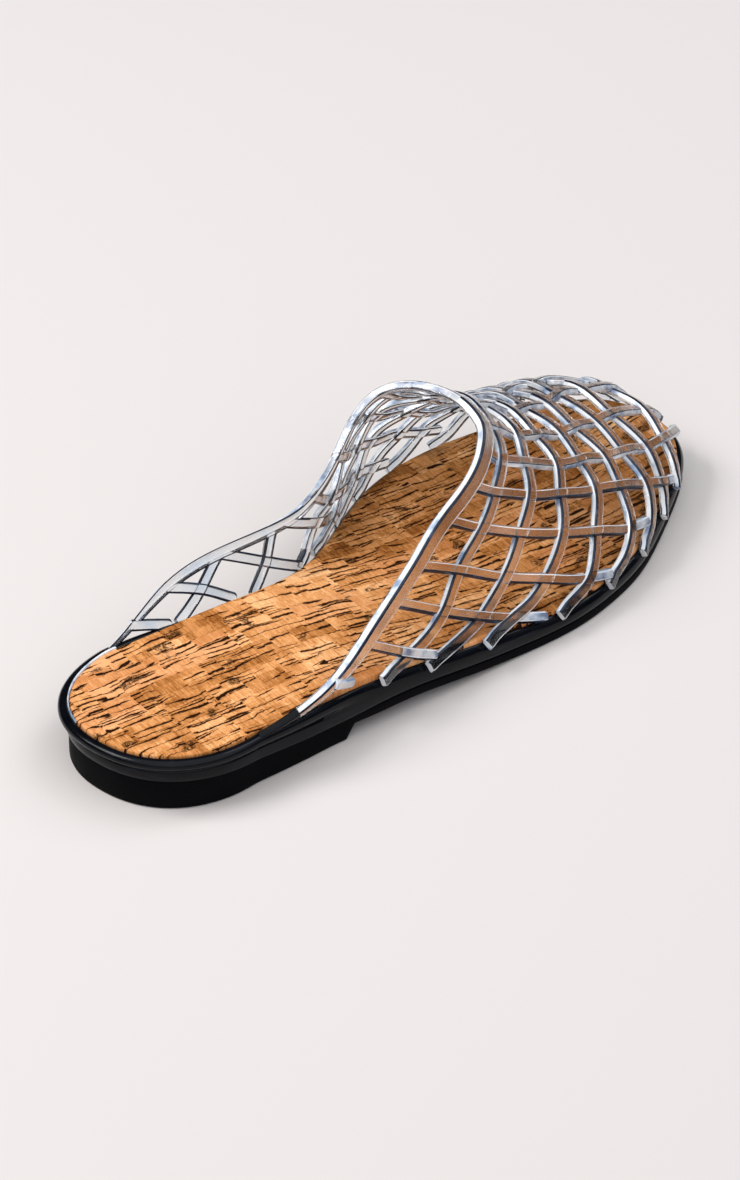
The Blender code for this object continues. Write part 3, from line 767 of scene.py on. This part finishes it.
def sole_inset(s):
    return HEEL_INSET * (1 - ease((s - 0.24) / 0.10)) + 0.3


GROOVE_PITCH, GROOVE_WIDE, GROOVE_DEEP = 7.0, 2.2, 0.9    # plain cross grooves under the sole
TREAD = ((0.060, 0.230), (0.590, 0.930))


def groove_edges():
    marks = []
    for lo, hi in TREAD:
        x = lo * LENGTH
        while x + GROOVE_WIDE < hi * LENGTH:
            marks += [x, x + 0.5, x + GROOVE_WIDE - 0.5, x + GROOVE_WIDE]
            x += GROOVE_PITCH
    return [m / LENGTH for m in marks]


def groove(s):
    for lo, hi in TREAD:
        if lo <= s <= hi:
            u = (s - lo) * LENGTH % GROOVE_PITCH
            if u > GROOVE_PITCH - 1e-4:
                u = 0.0
            if u < GROOVE_WIDE:
                return GROOVE_DEEP * min(u / 0.5, (GROOVE_WIDE - u) / 0.5, 1.0)
    return 0.0


def make_outsole():
    stations = sole_stations(120, extra=groove_edges() + [BREAST - 0.004, BREAST, BREAST + BREAST_LEAN, BREAST + BREAST_LEAN + 0.004])
    rings = [
        ring(stations, lambda s: sole_inset(s) + 1.1, under),
        ring(stations, lambda s: sole_inset(s) + 0.55, lambda s: under(s) + 0.12),
        ring(stations, lambda s: sole_inset(s) + 0.2, lambda s: under(s) + 0.42),
        ring(stations, sole_inset, lambda s: under(s) + 0.95),
        ring(stations, sole_inset, lambda s: sole_top(s) - 0.5),
        ring(stations, lambda s: sole_inset(s) + 0.15, lambda s: sole_top(s) - 0.15),
        ring(stations, lambda s: sole_inset(s) + 0.55, sole_top),
    ]

    def tread(s, share, p, a, b):
        width = np.linalg.norm(b - a)
        near = min(share, 1 - share) * width
        return p + np.array([0, 0, groove(s) * (1.0 if near > 6.5 else 0.0)])
    return skin("outsole_visual", stations, rings, columns=(14, 1), shape_low=tread)


# ------------------------------------------------------------------ materials
class Nodes:
    """Short hand for building a material's nodes."""

    def __init__(self, name):
        self.material = bpy.data.materials.new(name)
        self.material.use_nodes = True
        self.tree = self.material.node_tree
        self.tree.nodes.clear()
        self.out = self.tree.nodes.new("ShaderNodeOutputMaterial")
        self.shader = self.tree.nodes.new("ShaderNodeBsdfPrincipled")
        self.tree.links.new(self.shader.outputs[0], self.out.inputs["Surface"])
        self.coords = self.tree.nodes.new("ShaderNodeTexCoord").outputs["Object"]

    def set(self, **values):
        for name, value in values.items():
            self.shader.inputs[name.replace("_", " ")].default_value = value

    def join(self, source, socket):
        if isinstance(source, (int, float)):
            socket.default_value = source
        elif isinstance(source, tuple):
            socket.default_value = source if len(source) == len(socket.default_value) else (*source, 1.0)
        else:
            self.tree.links.new(source, socket)

    def math(self, kind, a, b=0.0, c=0.0, clamp=False):
        node = self.tree.nodes.new("ShaderNodeMath")
        node.operation, node.use_clamp = kind, clamp
        for source, socket in zip((a, b, c), node.inputs):
            self.join(source, socket)
        return node.outputs[0]

    def vector(self, kind, a, b):
        node = self.tree.nodes.new("ShaderNodeVectorMath")
        node.operation = kind
        self.join(a, node.inputs[0])
        self.join(b, node.inputs[1])
        return node.outputs[0]

    def turned(self, vector, degrees):
        node = self.tree.nodes.new("ShaderNodeVectorRotate")
        node.rotation_type = "Z_AXIS"
        self.join(vector, node.inputs["Vector"])
        node.inputs["Angle"].default_value = math.radians(degrees)
        return node.outputs[0]

    def combine(self, x, y, z):
        node = self.tree.nodes.new("ShaderNodeCombineXYZ")
        for source, socket in zip((x, y, z), node.inputs):
            self.join(source, socket)
        return node.outputs[0]

    def part(self, vector, k):
        node = self.tree.nodes.new("ShaderNodeSeparateXYZ")
        self.join(vector, node.inputs[0])
        return node.outputs[k]

    def noise(self, vector, scale=1.0, detail=2.0, rough=0.5, warp=0.0):
        node = self.tree.nodes.new("ShaderNodeTexNoise")
        self.join(vector, node.inputs["Vector"])
        for name, value in (("Scale", scale), ("Detail", detail), ("Roughness", rough), ("Distortion", warp)):
            node.inputs[name].default_value = value
        return node.outputs["Fac"]

    def noise_colour(self, vector, scale=1.0, detail=2.0):
        node = self.tree.nodes.new("ShaderNodeTexNoise")
        self.join(vector, node.inputs["Vector"])
        node.inputs["Scale"].default_value = scale
        node.inputs["Detail"].default_value = detail
        return node.outputs["Color"]

    def chips(self, vector, wide, tall, offset=0.5, every=2, squash=1.0, squash_every=2):
        """A random grey for each oblong of a running bond."""
        node = self.tree.nodes.new("ShaderNodeTexBrick")
        node.offset, node.offset_frequency = offset, every
        node.squash, node.squash_frequency = squash, squash_every
        self.join(vector, node.inputs["Vector"])
        for name, value in (("Color1", (0, 0, 0, 1)), ("Color2", (1, 1, 1, 1)), ("Mortar", (0.5, 0.5, 0.5, 1)), ("Scale", 1.0),
                            ("Mortar Size", 0.0), ("Mortar Smooth", 0.0), ("Bias", 0.0),
                            ("Brick Width", wide), ("Row Height", tall)):
            node.inputs[name].default_value = value
        return node.outputs["Color"]

    def ramp(self, fac, stops, kind="LINEAR"):
        node = self.tree.nodes.new("ShaderNodeValToRGB")
        node.color_ramp.interpolation = kind
        marks = node.color_ramp.elements
        while len(marks) < len(stops):
            marks.new(0.5)
        for mark, (at, colour) in zip(marks, stops):
            mark.position = at
            mark.color = (*colour, 1.0) if isinstance(colour, tuple) else (colour, colour, colour, 1.0)
        self.join(fac, node.inputs["Fac"])
        return node.outputs["Color"]

    def mix(self, fac, a, b, kind="MIX"):
        node = self.tree.nodes.new("ShaderNodeMix")
        node.data_type, node.blend_type = "RGBA", kind
        self.join(fac, node.inputs["Factor"])
        self.join(a, node.inputs[6])
        self.join(b, node.inputs[7])
        return node.outputs[2]

    def bump(self, height, strength, distance, below=None):
        node = self.tree.nodes.new("ShaderNodeBump")
        node.inputs["Strength"].default_value = strength
        node.inputs["Distance"].default_value = distance
        self.join(height, node.inputs["Height"])
        if below is not None:
            self.join(below, node.inputs["Normal"])
        return node.outputs["Normal"]


def clear_pvc():
    n = Nodes("clear_pvc")
    n.set(Base_Color=(1.0, 0.95, 0.91, 1.0), IOR=1.5, Transmission_Weight=1.0, Metallic=0.0,
          Coat_Weight=0.4, Coat_Roughness=0.02, Coat_IOR=1.45)
    cloud = n.noise(n.coords, scale=90.0, detail=3.0)
    n.join(n.ramp(cloud, ((0.3, 0.20), (0.7, 0.30))), n.shader.inputs["Roughness"])
    wave = n.noise(n.coords, scale=260.0, detail=2.0)
    n.join(n.bump(wave, 0.10, 0.0006), n.shader.inputs["Normal"])
    return n.material


def painted_edge_pvc():
    """The rounded edges, painted dark: painted shade and dark reflection, on top of the real tint of the whole width of
    a strip gathering there.
    """
    n = Nodes("clear_pvc_painted_dark_edge")
    n.set(IOR=1.5, Transmission_Weight=0.10, Metallic=0.0, Specular_IOR_Level=0.2,
          Coat_Weight=0.06, Coat_Roughness=0.08, Coat_IOR=1.4)
    cloud = n.noise(n.coords, scale=150.0, detail=3.0)
    n.join(n.ramp(cloud, ((0.35, (0.004, 0.006, 0.013)), (0.55, (0.010, 0.017, 0.036)), (0.72, (0.040, 0.062, 0.115)))),
           n.shader.inputs["Base Color"])
    n.join(n.ramp(cloud, ((0.3, 0.15), (0.7, 0.30))), n.shader.inputs["Roughness"])
    n.join(n.bump(cloud, 0.12, 0.0006), n.shader.inputs["Normal"])
    return n.material


def painted_gleam_pvc(clear=0.25):
    """The flanks, painted pale: a painted gleam for the light that a strip carries and lets out there."""
    n = Nodes("clear_pvc_painted_gleam")
    n.set(IOR=1.5, Transmission_Weight=clear, Metallic=0.0, Coat_Weight=0.4, Coat_Roughness=0.04)
    cloud = n.noise(n.coords, scale=130.0, detail=3.0)
    n.join(n.ramp(cloud, ((0.34, (0.28, 0.39, 0.60)), (0.46, (0.85, 0.91, 0.98)), (0.60, (0.98, 0.985, 1.0)))),
           n.shader.inputs["Base Color"])
    n.join(n.ramp(cloud, ((0.3, 0.16), (0.7, 0.30))), n.shader.inputs["Roughness"])
    n.join(n.bump(cloud, 0.15, 0.0005), n.shader.inputs["Normal"])
    return n.material


def painted_glint_pvc():
    """The blunt ends of the bars, painted milky: a painted glint for the light that they catch all round."""
    n = Nodes("clear_pvc_painted_glint")
    n.set(IOR=1.5, Transmission_Weight=0.50, Metallic=0.0, Coat_Weight=0.5, Coat_Roughness=0.03)
    cloud = n.noise(n.coords, scale=230.0, detail=3.0)
    n.join(n.ramp(cloud, ((0.36, (0.20, 0.27, 0.42)), (0.48, (0.55, 0.64, 0.78)), (0.60, (0.95, 0.97, 1.0)))),
           n.shader.inputs["Base Color"])
    n.join(n.ramp(cloud, ((0.3, 0.10), (0.7, 0.22))), n.shader.inputs["Roughness"])
    n.join(n.bump(cloud, 0.3, 0.0006), n.shader.inputs["Normal"])
    return n.material


def painted_haze_pvc():
    """The arch side, painted lighter and bluer: painted light for what the strips gather from the pale floor beyond it.
    """
    n = Nodes("clear_pvc_painted_haze")
    n.set(IOR=1.5, Transmission_Weight=0.96, Metallic=0.0, Coat_Weight=0.35, Coat_Roughness=0.03)
    cloud = n.noise(n.coords, scale=110.0, detail=3.0)
    n.join(n.ramp(cloud, ((0.32, (0.76, 0.87, 0.99)), (0.50, (0.96, 0.985, 1.0)))), n.shader.inputs["Base Color"])
    n.join(n.ramp(cloud, ((0.3, 0.05), (0.7, 0.14))), n.shader.inputs["Roughness"])
    n.join(n.bump(cloud, 0.12, 0.0005), n.shader.inputs["Normal"])
    return n.material


def dark_gloss():
    n = Nodes("dark_gloss_pvc")
    n.set(IOR=1.45, Metallic=0.0, Specular_IOR_Level=0.10, Coat_Weight=0.18, Coat_Roughness=0.02, Coat_IOR=1.4)
    stretched = n.vector("MULTIPLY", n.coords, (30.0, 120.0, 420.0))
    # paler streaks in the base colour are painted sheen, standing for the blotchy reflections on the glossy band
    painted_sheen_streak = n.noise(stretched, scale=1.0, detail=4.0, rough=0.6, warp=0.4)
    n.join(n.ramp(painted_sheen_streak, ((0.38, (0.0015, 0.0018, 0.0028)), (0.60, (0.0035, 0.0042, 0.0062)), (0.78, (0.020, 0.023, 0.030)))),
           n.shader.inputs["Base Color"])
    cloud = n.noise(n.coords, scale=160.0, detail=4.0)
    n.join(n.ramp(cloud, ((0.3, 0.10), (0.7, 0.30))), n.shader.inputs["Roughness"])
    wave = n.noise(n.vector("MULTIPLY", n.coords, (90.0, 90.0, 340.0)), scale=1.0, detail=3.0)
    n.join(n.bump(wave, 0.25, 0.0008), n.shader.inputs["Normal"])
    return n.material


def black_rubber():
    n = Nodes("black_rubber")
    n.set(IOR=1.45, Metallic=0.0, Specular_IOR_Level=0.045)
    cloud = n.noise(n.coords, scale=120.0, detail=5.0)
    n.join(n.ramp(cloud, ((0.3, (0.0012, 0.0012, 0.0017)), (0.7, (0.0030, 0.0030, 0.0038)))), n.shader.inputs["Base Color"])
    n.join(n.ramp(cloud, ((0.3, 0.52), (0.7, 0.68))), n.shader.inputs["Roughness"])
    grain = n.noise(n.coords, scale=2600.0, detail=2.0)
    n.join(n.bump(grain, 0.18, 0.0002), n.shader.inputs["Normal"])
    return n.material


def cork():
    n = Nodes("patchwork_cork")
    n.set(IOR=1.45, Metallic=0.0, Specular_IOR_Level=0.06)
    mm = n.turned(n.vector("MULTIPLY", n.coords, (1000.0, 1000.0, 1000.0)), 11.0)    # the sheet is cut a little askew

    def ragged(scale, reach):
        shake = n.vector("SUBTRACT", n.noise_colour(mm, scale, 3.0), (0.5, 0.5, 0.5))
        return n.vector("ADD", mm, n.vector("MULTIPLY", shake, (reach, reach, 0.0)))

    at = ragged(0.9, 0.9)
    moved = n.vector("ADD", ragged(0.6, 1.5), (403.0, 517.0, 0.0))
    big = n.chips(moved, 25.0, 11.5, 0.37, 2, 0.62, 3)
    small = n.chips(n.vector("ADD", moved, (7.0, 4.0, 0.0)), 13.5, 7.5, 0.61, 2, 1.5, 2)
    tiny = n.chips(moved, 6.0, 3.7, 0.43, 2, 1.7, 3)
    # each chip carries its own piece of the grain
    jump = n.combine(n.math("MULTIPLY", big, 61.0), n.math("MULTIPLY", small, 37.0), n.math("MULTIPLY", n.math("ADD", big, small), 23.0))

    def grain(along, across, detail=3.0, rough=0.6, warp=0.0):
        return n.noise(n.vector("ADD", n.vector("MULTIPLY", at, (along, across, 0.0)), jump), scale=1.0, detail=detail, rough=rough, warp=warp)

    def cracks(pitch, wander, wide, least):
        """Broken dark lines along the shoe: wavering stripes, each on and off along its way; and the brown beside them."""
        v = n.math("MULTIPLY_ADD", grain(0.06, 0.15, 2.0, 0.5), wander, n.math("MULTIPLY", n.part(at, 1), 1.0 / pitch))
        v = n.math("MULTIPLY_ADD", n.math("ADD", big, small), 7.3, n.math("MULTIPLY_ADD", tiny, 0.30, v))
        k = n.math("FLOOR", v)
        off = n.math("ABSOLUTE", n.math("SUBTRACT", n.math("FRACT", v), 0.5))
        place = n.combine(n.math("MULTIPLY_ADD", k, 17.3, n.math("MULTIPLY", n.part(at, 0), 0.070)), n.math("MULTIPLY", k, 5.1),
                          n.math("MULTIPLY", big, 31.0))
        on = n.math("SUBTRACT", n.math("ADD", n.noise(place, scale=1.0, detail=1.5), need), least)
        limit = n.math("MINIMUM", n.math("MULTIPLY", on, 0.9), wide)
        core = n.math("MULTIPLY", n.math("SUBTRACT", limit, off), 60.0, clamp=True)
        beside = n.math("MULTIPLY", n.math("SUBTRACT", n.math("MULTIPLY", limit, 2.4), off), 9.0, clamp=True)
        return core, beside

    patch = n.noise(mm, scale=0.045, detail=2.0)
    grit = n.noise(mm, scale=1.5, detail=3.0, rough=0.7)
    fine = grain(2.7, 0.13, 2.0)
    broad = grain(1.0, 0.16, 3.0)
    need = n.math("ADD", n.math("MULTIPLY", n.math("SUBTRACT", small, 0.5), 0.10), n.math("MULTIPLY", n.math("SUBTRACT", patch, 0.5), 0.20))

    # body colour: light and dark chips, streaked across and mottled
    tone = n.math("ADD", n.math("MULTIPLY", big, 0.40), n.math("MULTIPLY", small, 0.36))
    tone = n.math("ADD", tone, n.math("MULTIPLY", tiny, 0.20))
    tone = n.math("ADD", tone, 0.04)
    tone = n.math("ADD", tone, n.math("MULTIPLY", n.math("SUBTRACT", fine, 0.5), 0.80))
    tone = n.math("ADD", tone, n.math("MULTIPLY", n.math("SUBTRACT", broad, 0.5), 0.60))
    tone = n.math("ADD", tone, n.math("MULTIPLY", n.math("SUBTRACT", grit, 0.5), 0.45), clamp=True)
    body = n.ramp(tone, ((0.08, (0.23, 0.070, 0.012)), (0.32, (0.46, 0.174, 0.045)), (0.58, (0.70, 0.305, 0.106)),
                         (0.90, (0.96, 0.54, 0.255))))
    body = n.mix(n.ramp(big, ((0.74, 0.0), (0.82, 0.5))), body, n.mix(tone, (0.34, 0.10, 0.022), (0.66, 0.24, 0.08)))
    # dark cracks along the shoe, in some chips more than others
    (long_core, long_side), (short_core, short_side) = cracks(3.4, 1.7, 0.108, 0.440), cracks(2.3, 2.2, 0.115, 0.490)
    dark = n.math("MAXIMUM", long_core, short_core)
    halo = n.math("MULTIPLY", n.math("MAXIMUM", long_side, short_side), 0.50)
    # a few spots of black grit
    blot = n.ramp(n.noise(mm, scale=0.105, detail=1.0), ((0.655, 0.0), (0.69, 1.0)))
    speck = n.ramp(n.noise(mm, scale=1.15, detail=4.0, rough=0.75, warp=1.2), ((0.47, 0.9), (0.55, 0.0)))
    dark = n.math("MAXIMUM", dark, n.math("MULTIPLY", blot, speck))
    colour = n.mix(halo, body, (0.27, 0.080, 0.015))
    colour = n.mix(dark, colour, (0.020, 0.0065, 0.0015))
    n.join(colour, n.shader.inputs["Base Color"])
    n.join(n.ramp(grit, ((0.3, 0.58), (0.7, 0.82))), n.shader.inputs["Roughness"])
    height = n.math("SUBTRACT", n.math("MULTIPLY", grit, 0.25), n.math("MULTIPLY", dark, 0.9))
    height = n.math("ADD", height, n.math("MULTIPLY", fine, 0.25))
    n.join(n.bump(height, 0.7, 0.0005), n.shader.inputs["Normal"])
    return n.material


def pale_floor():
    n = Nodes("pale_floor")
    n.set(IOR=1.45, Metallic=0.0, Roughness=0.9, Specular_IOR_Level=0.1)
    cloud = n.noise(n.coords, scale=1.6, detail=2.0)
    n.join(n.ramp(cloud, ((0.3, (0.632, 0.586, 0.558)), (0.7, (0.642, 0.596, 0.568)))), n.shader.inputs["Base Color"])
    return n.material


# ------------------------------------------------------------------ the pieces
hoops, bars_a, bars_b, sides = make_cage()
# the clear strip material and its painted copies: painted dark edge, painted gleam, painted arch-side haze and painted
# end glint
clear = (clear_pvc(), painted_edge_pvc(), painted_gleam_pvc(), painted_haze_pvc(), painted_glint_pvc())
upper = unite(hoops.build("upper_visual", clear), [
    strips.build(name, clear) for name, strips in (("bars_a", bars_a), ("bars_b", bars_b), ("side_hoops", sides))])
smooth(upper, 40)
even = upper.modifiers.new("even shading", "WEIGHTED_NORMAL")
even.keep_sharp = True
even.weight = 60

midsole = make_midsole()
midsole.data.materials.append(dark_gloss())
smooth(midsole, 50)
insole = make_insole()
insole.data.materials.append(cork())
smooth(insole, 50)
outsole = make_outsole()
outsole.data.materials.append(black_rubber())
smooth(outsole, 35)

# the collar's outer end, built in the midsole's black gloss: painted dark, standing for the black lip seen through the
# clear collar
tail = Strips()
line = lambda f: hoop_station(0, f)
points, normals = hoop_run(0, line, -TAIL_FROM - 0.0005, -1.0, [(-1.0, 0.0), (0.0, 0.0)])
tail.tube(points, normals, lambda t: strip_section(3.6 - 1.0 * t, 2.5 - 0.3 * t, 0.7, 0.5))
tail = tail.build("collar_tail_painted_dark")
tail.data.materials.append(midsole.data.materials[0])
smooth(tail, 40)

# the strand that runs on from the collar's inner end round the heel, between lip and cork; it takes the flank material,
# a painted gleam, so that it shows as a white line
strand = Strips()
stations = sole_stations(150)
loop = ring(stations, lambda s: 2.15, lambda s: lip_top(s) + 0.15)
points = [p for p, s in zip(loop[len(stations):], stations[-2:0:-1]) if 0.006 < s < 0.155]
strand.tube(points, [np.array([0.0, 0.0, 1.0])] * len(points), lambda t: strip_section(1.25 - 0.7 * t, 1.1, 0.25, 0.3))
strand = strand.build("upper_strand", (clear[2],))
smooth(strand, 40)

for piece, node, slot in ((upper, "upper", "upper_clear"), (midsole, "midsole", "midsole_gloss"),
                          (insole, "insole", "insole_cork"), (outsole, "outsole", "outsole_rubber")):
    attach(piece, "root")
    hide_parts(node)
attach(tail, "root")
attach(strand, "root")

# ------------------------------------------------------------------ the stage
mesh = bpy.data.meshes.new("floor")
bm = bmesh.new()
bmesh.ops.create_grid(bm, x_segments=8, y_segments=8, size=4.0)
bm.to_mesh(mesh)
bm.free()
floor = bpy.data.objects.new("floor", mesh)
bpy.context.scene.collection.objects.link(floor)
mesh.materials.append(pale_floor())

world = bpy.data.worlds.new("studio")
bpy.context.scene.world = world
world.use_nodes = True
tree = world.node_tree
sky = tree.nodes["Background"]
where = tree.nodes.new("ShaderNodeTexCoord")
lean = tree.nodes.new("ShaderNodeVectorMath")
lean.operation = "DOT_PRODUCT"
lean.inputs[1].default_value = Vector((-0.26, -0.36, 0.90)).normalized()
tone = tree.nodes.new("ShaderNodeValToRGB")
tree.links.new(where.outputs["Generated"], lean.inputs[0])
tree.links.new(lean.outputs["Value"], tone.inputs["Fac"])
tree.links.new(tone.outputs["Color"], sky.inputs["Color"])
marks = tone.color_ramp.elements
for at, colour in ((0.0, (0.010, 0.012, 0.018)), (0.42, (0.030, 0.036, 0.050)), (0.60, (0.30, 0.34, 0.40)), (0.72, (0.88, 0.93, 1.0))):
    mark = marks[0] if at == 0.0 else marks.new(at)
    mark.position, mark.color = at, (*colour, 1.0)
marks[-1].position, marks[-1].color = 1.0, (1.0, 1.0, 1.0, 1.0)
sky.inputs["Strength"].default_value = 1.46


def soft_light(name, place, target, size, power, colour=(1.0, 1.0, 1.0)):
    data = bpy.data.lights.new(name, "AREA")
    data.shape, data.size, data.size_y = "RECTANGLE", size[0], size[1]
    data.energy, data.color = power, colour
    lamp = bpy.data.objects.new(name, data)
    lamp.location = place
    lamp.rotation_euler = (Vector(target) - Vector(place)).to_track_quat("-Z", "Y").to_euler()
    bpy.context.scene.collection.objects.link(lamp)


soft_light("key", (-0.9, 0.75, 1.35), (0.0, 0.0, 0.0), (0.9, 0.7), 17.0)
soft_light("strip", (-0.55, 0.35, 1.0), (-0.05, 0.0, 0.02), (0.50, 0.03), 1.4)
soft_light("fill", (0.9, -0.2, 1.2), (0.02, 0.0, 0.02), (0.5, 1.0), 5.0, (0.93, 0.96, 1.0))

# ------------------------------------------------------------------ the camera
PHOTO_WIDE, PHOTO_TALL = 740.0, 1180.0
RISE, TURN = math.radians(32.8345), math.radians(45.275)    # the photo's angle to the shoe
FOCUS = 3548.7                                              # pixels of the photo
EYE = Vector((-0.86255, -0.79900, 0.80370))
AIM = (454.5, 667.0)                                        # middle of the shoe in the photo
CLOSER = 1.30

right = Vector((math.cos(TURN), -math.sin(TURN), 0.0))
ahead = Vector((math.cos(RISE) * math.sin(TURN), math.cos(RISE) * math.cos(TURN), -math.sin(RISE)))
up = right.cross(ahead)
aim = (ahead + right * ((AIM[0] - PHOTO_WIDE / 2) / FOCUS) - up * ((AIM[1] - PHOTO_TALL / 2) / FOCUS)).normalized()
right = aim.cross(Vector((0.0, 0.0, 1.0))).normalized()
up = right.cross(aim)
data = bpy.data.cameras.new("camera")
data.sensor_fit, data.sensor_width = "AUTO", 36.0
data.lens = 36.0 * FOCUS * CLOSER / PHOTO_TALL
data.dof.use_dof = False
data.clip_start, data.clip_end = 0.05, 50.0
camera = bpy.data.objects.new("camera", data)
camera.matrix_world = Matrix((
    (right.x, up.x, -aim.x, EYE.x), (right.y, up.y, -aim.y, EYE.y), (right.z, up.z, -aim.z, EYE.z), (0, 0, 0, 1)))
bpy.context.scene.collection.objects.link(camera)
bpy.context.scene.camera = camera

view = bpy.context.scene
view.view_settings.view_transform = "Standard"
view.view_settings.look = "None"
view.cycles.max_bounces = 24
view.cycles.transmission_bounces = 24
view.cycles.glossy_bounces = 8
view.cycles.caustics_refractive = False
view.cycles.caustics_reflective = False
